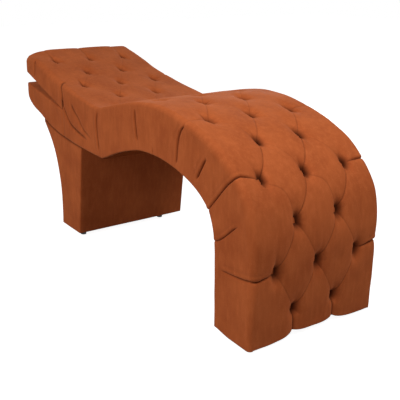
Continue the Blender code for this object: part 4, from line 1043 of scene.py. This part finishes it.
def base_shell():
    start = under_lengths[np.argmin(abs(under_run[:, 0] - SHELL_START))]
    stations = np.linspace(start, under_lengths[-1] - NOSE_GAP, SHELL_STATIONS)
    low_run = along(under_run, under_lengths, stations)
    high_x = np.linspace(SHELL_START, under_run[-1, 0] + NOSE_GAP - NOSE_LEAN, SHELL_STATIONS)
    high_run = np.stack([high_x, base_top(high_x)], -1)
    sections = [(low, high, HALF_WIDTH, SHELL_EDGE) for low, high in zip(low_run, high_run)]
    low, high = low_run[-1], high_run[-1]
    rise = unit(high - low)
    out = np.array([-rise[1], rise[0]])
    for angle in np.linspace(0, math.pi / 2, ROUNDING_STEPS + 1)[1:]:
        step, back = SHELL_EDGE * math.sin(angle), SHELL_EDGE * (1 - math.cos(angle))
        lower, upper = low + out * step + rise * back, high + out * step - rise * back
        sections.append((lower, upper, HALF_WIDTH - back, SHELL_EDGE - back + SHELL_END_EDGE))
    grid = np.stack([loop_points(*section, SHELL_LEVELS, SHELL_ACROSS) for section in sections])
    x, y = grid[..., 0], grid[..., 1]
    into = np.clip((x.min() + SHELL_CORNER - x) / SHELL_CORNER, 0, 1)
    y *= 1 - SHELL_CORNER / HALF_WIDTH * (1 - np.sqrt(1 - into**2 * SHELL_CORNER_FULLNESS))
    drawn_in = ease(1 - (SHELL_START - x) / SHELL_TUCK_REACH) * (abs(y) > SHELL_TUCK_FROM_Y)
    y -= np.sign(y) * SHELL_TUCK * drawn_in
    wall = abs(y) > HALF_WIDTH - SHELL_WALL
    y += np.sign(y) * SHELL_SWAY * sway(grid, SHELL_WAVES) * wall
    piece = tube("base_shell", grid, np.zeros(len(grid)), capped=True)
    thicken(piece, SHELL_THICKNESS)
    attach(piece, "bed")
    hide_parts("base_cover")
    return piece


# Linings and cloths that are stretched over the frame
LINING_SLACK = 0.0004
LINING_PUCKERS = 0.0005
LINING_ACROSS = 40
LINING_STEP = 0.012
LINING_LEAST_STEPS = 24
PUCKER_FADE = 0.02
DUST_CLOTH_PUCKERS = 0.0003
DUST_CLOTH_POINTS = 30
HEAD_LINING_START = 0.018
HEAD_LINING_POINTS = 40
GUSSET_REACH = 0.040
GUSSET_DEPTH = 0.006
GUSSET_PUCKERS = 0.0002
GUSSET_STEPS = 8


def lining(name, run, half, thickness, puckers):
    """A stretched cloth along a run of x and z points, thickening to the run's right."""
    y = np.linspace(-half, half, LINING_ACROSS)
    lengths = run_lengths(run)
    steps = max(LINING_LEAST_STEPS, int(lengths[-1] / LINING_STEP))
    s = np.linspace(0, lengths[-1], steps)
    middle = along(run, lengths, s)
    out = outward(middle)
    spread = np.stack(np.meshgrid(s, y, indexing="ij"), -1)
    lift = puckers * np.exp(-(half - abs(y)) / PUCKER_FADE) * sway(spread, LINING_WAVES)
    mesh = Mesh()
    rims = []
    for depth in (lift, np.full(lift.shape, -thickness)):
        x, z = (middle[:, k : k + 1] + out[:, k : k + 1] * depth for k in range(2))
        ids = mesh.add(np.stack([x, spread[..., 1], z], -1)).reshape(x.shape)
        mesh.quads(ids)
        rims.append(np.concatenate([ids[0], ids[1:, -1], ids[-1, -2::-1], ids[-2::-1, 0]]))
    mesh.quads(np.stack(rims))
    piece = mesh.build(name)
    return piece


def arch_lining():
    low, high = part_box("arch_cover")
    run = under_run[(under_run[:, 0] >= low.x) & (under_run[:, 1] > low.z)]
    thickness = LINING - LINING_SLACK
    piece = lining(
        "arch_lining", run[::-1], high.y, thickness, LINING_PUCKERS
    )
    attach(piece, "bed")
    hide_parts("arch_cover")
    return piece


def headrest_lining():
    tip_reach = HEAD_LENGTH - HEAD_CORNER
    end = tip_reach - undercut(tip_reach)
    reach = np.linspace(HEAD_LINING_START, end, HEAD_LINING_POINTS)
    run = np.stack(from_head(reach, LINING_SLACK), -1)
    half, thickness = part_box("headrest_lining")[1].y, LINING - LINING_SLACK
    piece = lining(
        "headrest_underlining", run, half, thickness, LINING_PUCKERS,
    )
    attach(piece, "headrest")
    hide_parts("headrest_lining")
    return piece


def foot_dust_cloth():
    low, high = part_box("foot_dust_cloth")
    x = np.linspace(high.x, low.x, DUST_CLOTH_POINTS)
    run = np.stack([x, np.full(x.shape, low.z)], -1)
    piece = lining(
        "foot_dust_cover", run, high.y, high.z - low.z, DUST_CLOTH_PUCKERS,
    )
    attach(piece, "bed")
    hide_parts("foot_dust_cloth")
    return piece


def hinge_gusset():
    """The soft strip that closes the notch between the headrest and the base."""
    start = np.array(from_head(GUSSET_REACH, 0.0))
    end = np.array([HINGE[0] - GUSSET_REACH, base_top(HINGE[0] - GUSSET_REACH)])
    deep = np.array([HINGE[0] + GUSSET_DEPTH, HINGE[2]])
    run = spline([start, (start + deep) / 2, deep, (end + deep) / 2, end], GUSSET_STEPS)
    piece = lining(
        "hinge_gusset", run, HALF_WIDTH - SIDE_PADDING, LINING / 2, GUSSET_PUCKERS,
    )
    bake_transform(piece)
    return piece


# Pedestal
PEDESTAL_CORNER_GAP = 0.010
PEDESTAL_LEVELS = 96
PEDESTAL_SIDE_POINTS = 40
PEDESTAL_ACROSS = 60
PEDESTAL_EDGE = 0.005
PEDESTAL_HEM_LIFT = 0.003
PEDESTAL_FULLNESS = 0.0045
PEDESTAL_DRAW_IN = 0.014
PEDESTAL_BOW = 0.0010
PEDESTAL_RIPPLE = 0.0008
PEDESTAL_SKIN = 0.0005
SAME_PLACE = 1e-4
# The cloth stands off the board from this far from the middle, along the bed and across it
PEDESTAL_FULL_FROM = (0.05, 0.2)
# Its hem turns in underneath: how far inside the edge and how high, from its inner end outwards
PEDESTAL_HEM = [(0.014, 0.0), (0.004, 0.0), (0.001, 0.0012)]


def roof_over(x):
    """Height of the bed's underside over an x."""
    return np.interp(x, under_run[::-1, 0], under_run[::-1, 1])


def pedestal_faces():
    """The front edge and the back edge of the pedestal's side, from the foot up."""
    spots = np.array([v.co[:] for v in frame["nodes"]["pedestal_cover"].data.vertices])
    side = spots[spots[:, 1] < spots[:, 1].min() + SAME_PLACE][:, [0, 2]]
    side = np.unique(np.round(side, 5), axis=0)
    x, z = side.T
    foot_line = side[z < z.min() + SAME_PLACE]
    front = np.array([foot_line[foot_line[:, 0].argmax()], side[x.argmax()]])
    on_back = (x < (x.min() + x.max()) / 2) & (z < roof_over(x) - PEDESTAL_CORNER_GAP)
    back = side[on_back]
    back = np.vstack([back[np.argsort(back[:, 1])], side[x.argmin()]])
    keep = np.concatenate([[True], np.diff(back[:, 1]) > SAME_PLACE])
    return front, back[keep], abs(spots[:, 1]).max()


def pedestal_cover():
    front, back, half = pedestal_faces()
    lengths = run_lengths(back)
    share = np.linspace(0, 1, PEDESTAL_LEVELS)
    back_at = along(back, lengths, share * lengths[-1])
    front_at = front[0] + (front[1] - front[0]) * share[:, None]
    sections = []
    for turn, rise in PEDESTAL_HEM:
        sections.append((back_at[0] + (turn, rise), front_at[0] + (-turn, rise), half - turn))
    back_at[0, 1] += PEDESTAL_HEM_LIFT
    front_at[0, 1] += PEDESTAL_HEM_LIFT
    sections += [(low, high, half) for low, high in zip(back_at, front_at)]
    size = (PEDESTAL_EDGE, PEDESTAL_SIDE_POINTS, PEDESTAL_ACROSS)
    plain = np.stack([loop_points(*section, *size) for section in sections])
    x, y, z = plain[..., 0], plain[..., 1], plain[..., 2]
    centre = (x.max(1) + x.min(1))[:, None] / 2
    out_x, out_y = np.where(x > centre, 1.0, -1.0), np.sign(y)
    full = ease((roof_over(x) - z) / PEDESTAL_DRAW_IN)
    grid = plain.copy()
    from_x, from_y = PEDESTAL_FULL_FROM
    grid[..., 0] += out_x * full * PEDESTAL_FULLNESS * (abs(x - centre) > from_x)
    grid[..., 1] += out_y * full * PEDESTAL_FULLNESS * (abs(y) > from_y)
    bow = PEDESTAL_BOW * (1 + sway(plain, PEDESTAL_FRONT_WAVES))
    grid[..., 0] += out_x * bow * (abs(y) < half - PEDESTAL_EDGE)
    ripple = PEDESTAL_RIPPLE * sway(plain, PEDESTAL_SIDE_WAVES)
    grid[..., 1] += out_y * ripple * (abs(y) > half - PEDESTAL_SKIN)
    # The wrap's top, where it runs in under the bed, gets painted shade: 1 - full is its share of the
    # dark colour, a painted shadow line at the seam
    piece = tube("pedestal_wrap", grid, 1 - full)
    thicken(piece, LINING - LINING_SLACK)
    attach(piece, "bed")
    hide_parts("pedestal_cover")
    return piece


# Foam
FOAM_EDGE = 0.003
FOAM_EDGE_FROM = math.radians(40)
FOAM_FLAT = math.radians(1)


def foam(name, node, body):
    """The foam under a buttoned cover, with its cut edges eased."""
    mesh = frame["nodes"][node].data.copy()
    mesh.materials.clear()
    bm = bmesh.new()
    bm.from_mesh(mesh)
    bmesh.ops.remove_doubles(bm, verts=bm.verts, dist=FOAM_MERGE)
    bmesh.ops.dissolve_limit(bm, angle_limit=FOAM_FLAT, verts=bm.verts, edges=bm.edges)
    bmesh.ops.recalc_face_normals(bm, faces=bm.faces)
    if body == "headrest":
        for vertex in bm.verts:
            vertex.co = droop(np.array(vertex.co))
    bm.to_mesh(mesh)
    bm.free()
    piece = stand(name, mesh)
    bevel = piece.modifiers.new("cut_edges", "BEVEL")
    bevel.width = FOAM_EDGE
    bevel.segments = 2
    bevel.limit_method = "ANGLE"
    bevel.angle_limit = FOAM_EDGE_FROM
    apply_modifiers(piece)
    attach(piece, body)
    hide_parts(node)
    return piece


# Covered buttons
BUTTON_SEGMENTS = 28
BUTTON_RINGS = 14
BUTTON_ROLL = 3


def button_shape():
    """A covered button: a shallow dome with a rolled rim."""
    bpy.ops.object.select_all(action="DESELECT")
    bpy.ops.mesh.primitive_uv_sphere_add(
        segments=BUTTON_SEGMENTS, ring_count=BUTTON_RINGS, radius=BUTTON_RADIUS
    )
    ball = bpy.context.object
    for vertex in ball.data.vertices:
        x, y, z = vertex.co
        out = math.hypot(x, y) / BUTTON_RADIUS
        crown = BUTTON_CROWN * math.sqrt(max(0.0, 1 - out * out))
        vertex.co.z = crown if z >= 0 else -BUTTON_BACK * min(1.0, BUTTON_ROLL * (1 - out))
    mesh = ball.data
    bpy.data.objects.remove(ball)
    return mesh


def covered_buttons():
    shape = button_shape()
    crossing = CROWN - LONG_CREASE - CROSS_CREASE - LONG_FOLD - CROSS_FOLD
    made = []
    counts = {}
    for row, column in button_places():
        counts[row] = counts.get(row, 0) + 1
        at, out = surface.at(row), surface.out(row)
        lift = by_row(RELIEF_SHARES, row) * crossing - by_row(PIT_SHARES, row) * PIT_DEPTH
        x, z = at + out * (lift + BUTTON_LIFT)
        mesh = shape.copy()
        turned = Matrix.Rotation(math.atan2(out[0], out[1]), 4, "Y")
        mesh.transform(Matrix.Translation((x, column * SPACING, z)) @ turned)
        mesh.shade_smooth()
        button = stand(f"button_row{row - HEAD_ROW + 1:02d}_{counts[row]}", mesh)
        if row < 0:
            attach(button, "headrest")
        elif row > 0:
            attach(button, "bed")
        else:
            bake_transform(button)
        made.append(button)
    bpy.data.meshes.remove(shape)
    return made


shell = base_shell()
linings = [arch_lining(), headrest_lining(), hinge_gusset()]
dust_cover = foot_dust_cloth()
wrap = pedestal_cover()
foams = [
    foam("seat_padding", "main_foam", "bed"),
    foam("headrest_padding", "headrest_foam", "headrest"),
]
buttons = covered_buttons()


# Materials
class Socket:
    """A shader value that takes part in sums."""

    def __init__(self, maker, socket):
        self.maker = maker
        self.socket = socket

    def _sum(self, operation, first, second):
        return self.maker.node("ShaderNodeMath", {"operation": operation}, first, second)

    def __add__(self, other):
        return self._sum("ADD", self, other)

    def __radd__(self, other):
        return self._sum("ADD", other, self)

    def __sub__(self, other):
        return self._sum("SUBTRACT", self, other)

    def __rsub__(self, other):
        return self._sum("SUBTRACT", other, self)

    def __mul__(self, other):
        return self._sum("MULTIPLY", self, other)

    def __rmul__(self, other):
        return self._sum("MULTIPLY", other, self)


class Tree:
    """A node tree, built one node at a time."""

    def __init__(self, block):
        block.use_nodes = True
        self.block = block
        self.tree = block.node_tree

    def fill(self, socket, value):
        """Gives a socket a link or a value of its own."""
        if isinstance(value, Socket):
            self.tree.links.new(value.socket, socket)
        elif value is not None:
            socket.default_value = value

    def node(self, kind, settings=None, *values, output=0, **named):
        made = self.tree.nodes.new(kind)
        for label, value in (settings or {}).items():
            setattr(made, label, value)
        for key, value in [*enumerate(values), *named.items()]:
            self.fill(made.inputs[key.replace("_", " ") if isinstance(key, str) else key], value)
        return Socket(self, made.outputs[output])

    def output_of(self, name):
        """The first output of a node that the tree starts with."""
        return Socket(self, self.tree.nodes[name].outputs[0])

    def seen_share(self):
        """1 for what the camera, a mirror or a glass sees directly, and 0 for the light itself."""
        share = self.node("ShaderNodeLightPath", output="Is Camera Ray")
        path = share.socket.node
        for ray in ("Is Glossy Ray", "Is Transmission Ray"):
            other = Socket(self, path.outputs[ray])
            share = self.node("ShaderNodeMath", {"operation": "MAXIMUM"}, share, other)
        return share


class Maker(Tree):
    """A material's node tree."""

    def __init__(self, name, **constants):
        super().__init__(bpy.data.materials.new(name))
        self.shader = self.tree.nodes["Principled BSDF"]
        for label, value in constants.items():
            self.shader.inputs[label.replace("_", " ")].default_value = value

    def place(self):
        return self.node("ShaderNodeTexCoord", output="Object")

    def drawn(self, scale, place):
        """The place, drawn out or in along each direction."""
        return self.node("ShaderNodeMapping", Vector=place, Scale=scale)

    def noise(self, scale, detail, roughness, place):
        return self.node(
            "ShaderNodeTexNoise", Vector=place, Scale=scale, Detail=detail, Roughness=roughness
        )

    def cells(self, scale, place, randomness=1.0):
        """How far each place lies from the middle of its cell."""
        return self.node(
            "ShaderNodeTexVoronoi", {"feature": "F1"}, Vector=place, Scale=scale,
            Randomness=randomness, output="Distance",
        )

    def between(self, value, low, high, to_low=0.0, to_high=1.0):
        return self.node("ShaderNodeMapRange", None, value, low, high, to_low, to_high)

    def blend(self, share, first, second):
        mixed = self.node("ShaderNodeMix", {"data_type": "RGBA"}, share)
        mix = mixed.socket.node
        for label, tone in (("A_Color", first), ("B_Color", second)):
            self.fill(next(s for s in mix.inputs if s.identifier == label), tone)
        return Socket(self, next(s for s in mix.outputs if s.identifier == "Result_Color"))

    def bump(self, height, strength, distance):
        return self.node(
            "ShaderNodeBump", Strength=strength, Distance=distance, Height=height
        )

    def give(self, tone, roughness, normal):
        """The finished material, with what varies over it on the shader."""
        for label, result in (("Base Color", tone), ("Roughness", roughness), ("Normal", normal)):
            self.fill(self.shader.inputs[label], result)
        return self.block


def colour(*levels):
    """A colour as written on a screen, in the renderer's own light values."""
    shares = [level / 255 for level in levels]
    return [*(c / 12.92 if c < 0.04045 else ((c + 0.055) / 1.055) ** 2.4 for c in shares), 1]


# Studio
CAMERA_AT = (2.5029, -1.5979, 1.2297)
CAMERA_YAW = math.radians(34.852)
CAMERA_PITCH = math.radians(18.289)
CAMERA_LENS = 60.85
# Each lamp's place, the point that it is aimed at and its power
LAMPS = {
    "lamp_above": ((1.9, 0.35, 2.6), (0.2, 0.0, 0.4), 41),
    "lamp_back": ((-2.2, 3.0, 1.6), (-0.1, 0.0, 0.4), 44),
    "lamp_side": ((0.4, -3.05, 2.4), (0.0, 0.0, 0.4), 67),
}
LAMP_SIZE = 1.8
WHITE = (1, 1, 1, 1)
WORLD_LIGHT = 0.15
WORLD_SEEN = 1.0
FLOOR_SIZE = 30
FLOOR_TONE = (0.38, 0.38, 0.38, 1)
FLOOR_ROUGHNESS = 0.9
FLOOR_GLOW = 0.94


def photo_camera():
    camera = stand("camera", bpy.data.cameras.new("camera"))
    flat = math.cos(CAMERA_PITCH)
    x, y = -math.cos(CAMERA_YAW) * flat, math.sin(CAMERA_YAW) * flat
    ahead = Vector((x, y, -math.sin(CAMERA_PITCH)))
    camera.location = CAMERA_AT
    camera.rotation_euler = ahead.to_track_quat("-Z", "Y").to_euler()
    camera.data.lens = CAMERA_LENS
    bpy.context.scene.camera = camera


def area_lamp(name, place, aim, power):
    lamp = stand(name, bpy.data.lights.new(name, "AREA"))
    lamp.data.shape = "DISK"
    lamp.data.size = LAMP_SIZE
    lamp.data.energy = power
    lamp.location = place
    lamp.rotation_euler = (Vector(aim) - Vector(place)).to_track_quat("-Z", "Y").to_euler()


def white_world():
    """A dim even light that the camera sees as plain white."""
    sky = Tree(bpy.data.worlds.new("white_studio"))
    lit = sky.tree.nodes["Background"]
    sky.fill(lit.inputs["Color"], WHITE)
    sky.fill(lit.inputs["Strength"], WORLD_LIGHT)
    seen = sky.node("ShaderNodeBackground", Color=WHITE, Strength=WORLD_SEEN)
    share = sky.seen_share()
    mixed = sky.node("ShaderNodeMixShader", None, share, sky.output_of("Background"), seen)
    sky.fill(sky.tree.nodes["World Output"].inputs["Surface"], mixed)
    bpy.context.scene.world = sky.block


def pale_floor():
    """A pale floor that the camera sees nearly white, with the object's soft shadow on it."""
    pale = Maker("pale_floor", Base_Color=FLOOR_TONE, Roughness=FLOOR_ROUGHNESS)
    glow = pale.node("ShaderNodeEmission", Strength=pale.seen_share() * FLOOR_GLOW)
    both = pale.node("ShaderNodeAddShader", None, pale.output_of("Principled BSDF"), glow)
    pale.fill(pale.tree.nodes["Material Output"].inputs["Surface"], both)
    bpy.ops.mesh.primitive_plane_add(size=FLOOR_SIZE)
    floor = bpy.context.object
    floor.name = "floor"
    floor.data.materials.append(pale.block)


# The finishes, as colours on a screen
SUEDE = (182, 93, 48)
SUEDE_WORN = (193, 104, 60)
SUEDE_DEEP = (163, 79, 39)
# Painted shade: the dark colour painted into folds, pits and the pedestal's top seam
SUEDE_PAINTED_SHADE = (58, 22, 9)
SUEDE_SHEEN = (236, 168, 120)
# How strongly the painted shade colour is mixed in where its share is full
PAINTED_SHADE_STRENGTH = 0.88
LINING_LIGHT = (150, 72, 35)
LINING_DARK = (128, 60, 29)


def suede(name, light, middle, dark, sheen, gloss):
    """Suede-touch velvet: a brushed nap that lies this way and that, with painted shade in its folds,
    pits and seams.
    """
    cloth = Maker(
        name, Sheen_Weight=sheen, Sheen_Roughness=0.42, Sheen_Tint=colour(*SUEDE_SHEEN),
        Specular_IOR_Level=gloss,
    )
    spot = cloth.place()
    brushed = cloth.noise(7.0, 4.0, 0.62, spot)
    hand = cloth.noise(34.0, 3.0, 0.6, cloth.drawn((1.7, 1.7, 0.4), spot))
    nap = cloth.noise(240.0, 2.0, 0.6, spot)
    fibre = cloth.noise(1500.0, 2.0, 0.7, spot)
    warm = cloth.between(0.72 * brushed + 0.28 * hand, 0.36, 0.62)
    tone = cloth.blend(warm, colour(*dark), colour(*middle))
    rubbed = cloth.between(0.5 * nap + 0.5 * hand, 0.50, 0.70, 0.0, 0.55)
    tone = cloth.blend(rubbed, tone, colour(*light))
    # Painted shade: the dark colour is mixed in by each point's painted shade share, standing in for
    # shade in folds, pits and seams
    depth = cloth.node("ShaderNodeAttribute", {"attribute_name": "tuck"}, output="Fac")
    tone = cloth.blend(depth * PAINTED_SHADE_STRENGTH, tone, colour(*SUEDE_PAINTED_SHADE))
    height = cloth.between(fibre, 0.2, 0.8, 0.0, 0.45) + cloth.between(nap, 0.2, 0.8, 0.0, 0.55)
    return cloth.give(
        tone, cloth.between(hand, 0.3, 0.7, 0.82, 0.96), cloth.bump(height, 0.42, 0.0006)
    )


def dust_cloth_finish():
    """Black non-woven cloth, with its pressed fibres and its small bonding dots."""
    cloth = Maker("black_dust_cloth", Specular_IOR_Level=0.25)
    spot = cloth.place()
    fibre = cloth.noise(420.0, 5.0, 0.75, spot)
    pressed = cloth.between(cloth.cells(380.0, spot, 0.15), 0.1, 0.4, 1.0, 0.0)
    pale = cloth.between(fibre, 0.35, 0.7)
    return cloth.give(
        cloth.blend(pale, colour(20, 20, 22), colour(44, 44, 47)),
        cloth.between(fibre, 0.3, 0.7, 0.75, 0.95),
        cloth.bump(fibre - 0.6 * pressed, 0.5, 0.0005),
    )


def foam_finish():
    """Pale foam, with its open cells and a little yellowing."""
    cut = Maker("open_cell_foam", Specular_IOR_Level=0.2)
    spot = cut.place()
    cells = cut.cells(420.0, spot)
    aged = cut.between(cut.noise(5.0, 3.0, 0.5, spot), 0.35, 0.65)
    tone = cut.blend(aged, colour(232, 223, 196), colour(221, 205, 160))
    tone = cut.blend(cut.between(cells, 0.0, 0.5, 0.45, 0.0), tone, colour(176, 160, 118))
    return cut.give(
        tone, cut.between(cells, 0.0, 0.6, 0.98, 0.86), cut.bump(cells, 0.6, 0.001)
    )


def wood(name, grain_along, pale, brown, knots):
    """Bare wood, its grain drawn out along one direction."""
    board = Maker(name, Specular_IOR_Level=0.35)
    stretch = [38.0, 38.0, 38.0]
    stretch[grain_along] = 1.6
    grain = board.drawn(stretch, board.place())
    figure = board.noise(1.0, 5.0, 0.62, grain)
    pores = board.noise(9.0, 3.0, 0.7, grain)
    rings = board.node(
        "ShaderNodeTexWave", {"wave_type": "BANDS", "bands_direction": "DIAGONAL"},
        Vector=grain, Scale=0.6, Distortion=4.0, Detail=3.0, output="Fac",
    )
    line = board.between(0.55 * figure + 0.45 * rings, 0.25, 0.75)
    tone = board.blend(line, colour(*pale), colour(*brown))
    tone = board.blend(board.between(pores, 0.55, 0.8, 0.0, knots), tone, colour(112, 74, 42))
    return board.give(
        tone, board.between(figure, 0.3, 0.7, 0.58, 0.80),
        board.bump(0.6 * rings + 0.4 * pores, 0.25, 0.0006),
    )


def zinc_finish():
    """Zinc plating: brushed, a little clouded, with dull spots."""
    plate = Maker("zinc_steel", Metallic=1.0)
    spot = plate.place()
    brush = plate.noise(1.0, 3.0, 0.6, plate.drawn((60.0, 60.0, 900.0), spot))
    cloud = plate.noise(22.0, 4.0, 0.6, spot)
    return plate.give(
        plate.blend(cloud, colour(196, 199, 204), colour(160, 160, 158)),
        plate.between(0.5 * brush + 0.5 * cloud, 0.3, 0.7, 0.26, 0.48),
        plate.bump(brush, 0.15, 0.0003),
    )


def plastic_finish():
    """Black moulded plastic with a fine spark-eroded grain, scuffed grey in places."""
    moulded = Maker("black_plastic", Specular_IOR_Level=0.5)
    spot = moulded.place()
    grain = moulded.noise(1100.0, 2.0, 0.5, spot)
    scuff = moulded.noise(70.0, 4.0, 0.7, spot)
    worn = moulded.between(scuff, 0.58, 0.75, 0.0, 0.7)
    return moulded.give(
        moulded.blend(worn, colour(24, 23, 23), colour(58, 56, 55)),
        moulded.between(scuff, 0.3, 0.7, 0.42, 0.66),
        moulded.bump(grain, 0.35, 0.0003),
    )


def finish(pieces, material):
    for piece in pieces:
        piece.data.materials.clear()
        piece.data.materials.append(material)


photo_camera()
for name, (place, aim, power) in LAMPS.items():
    area_lamp(name, place, aim, power)
white_world()
pale_floor()
rust_suede = suede("rust_suede", SUEDE_WORN, SUEDE, SUEDE_DEEP, 0.16, 0.08)
finish([cover, shell, wrap, *buttons], rust_suede)
finish(linings, suede("lining_suede", LINING_LIGHT, LINING_LIGHT, LINING_DARK, 0.0, 0.0))
finish([dust_cover], dust_cloth_finish())
finish(foams, foam_finish())

# The frame's own pieces: the finish of those whose name has one of these words; the rest are plywood
plywood = wood("birch_plywood", 0, (226, 198, 158), (196, 158, 112), 0.35)
FRAME_FINISHES = [
    (("glide",), plastic_finish()),
    (("ratchet", "bolt"), zinc_finish()),
    (("rail", "cleat", "bearer"), wood("planed_pine", 1, (232, 200, 148), (200, 152, 96), 0.5)),
]
for name, node in frame["nodes"].items():
    if not node.hide_render:
        chosen = (made for words, made in FRAME_FINISHES if any(word in name for word in words))
        finish([node], next(chosen, plywood))

bpy.context.scene.view_settings.view_transform = "Standard"
bpy.context.view_layer.update()
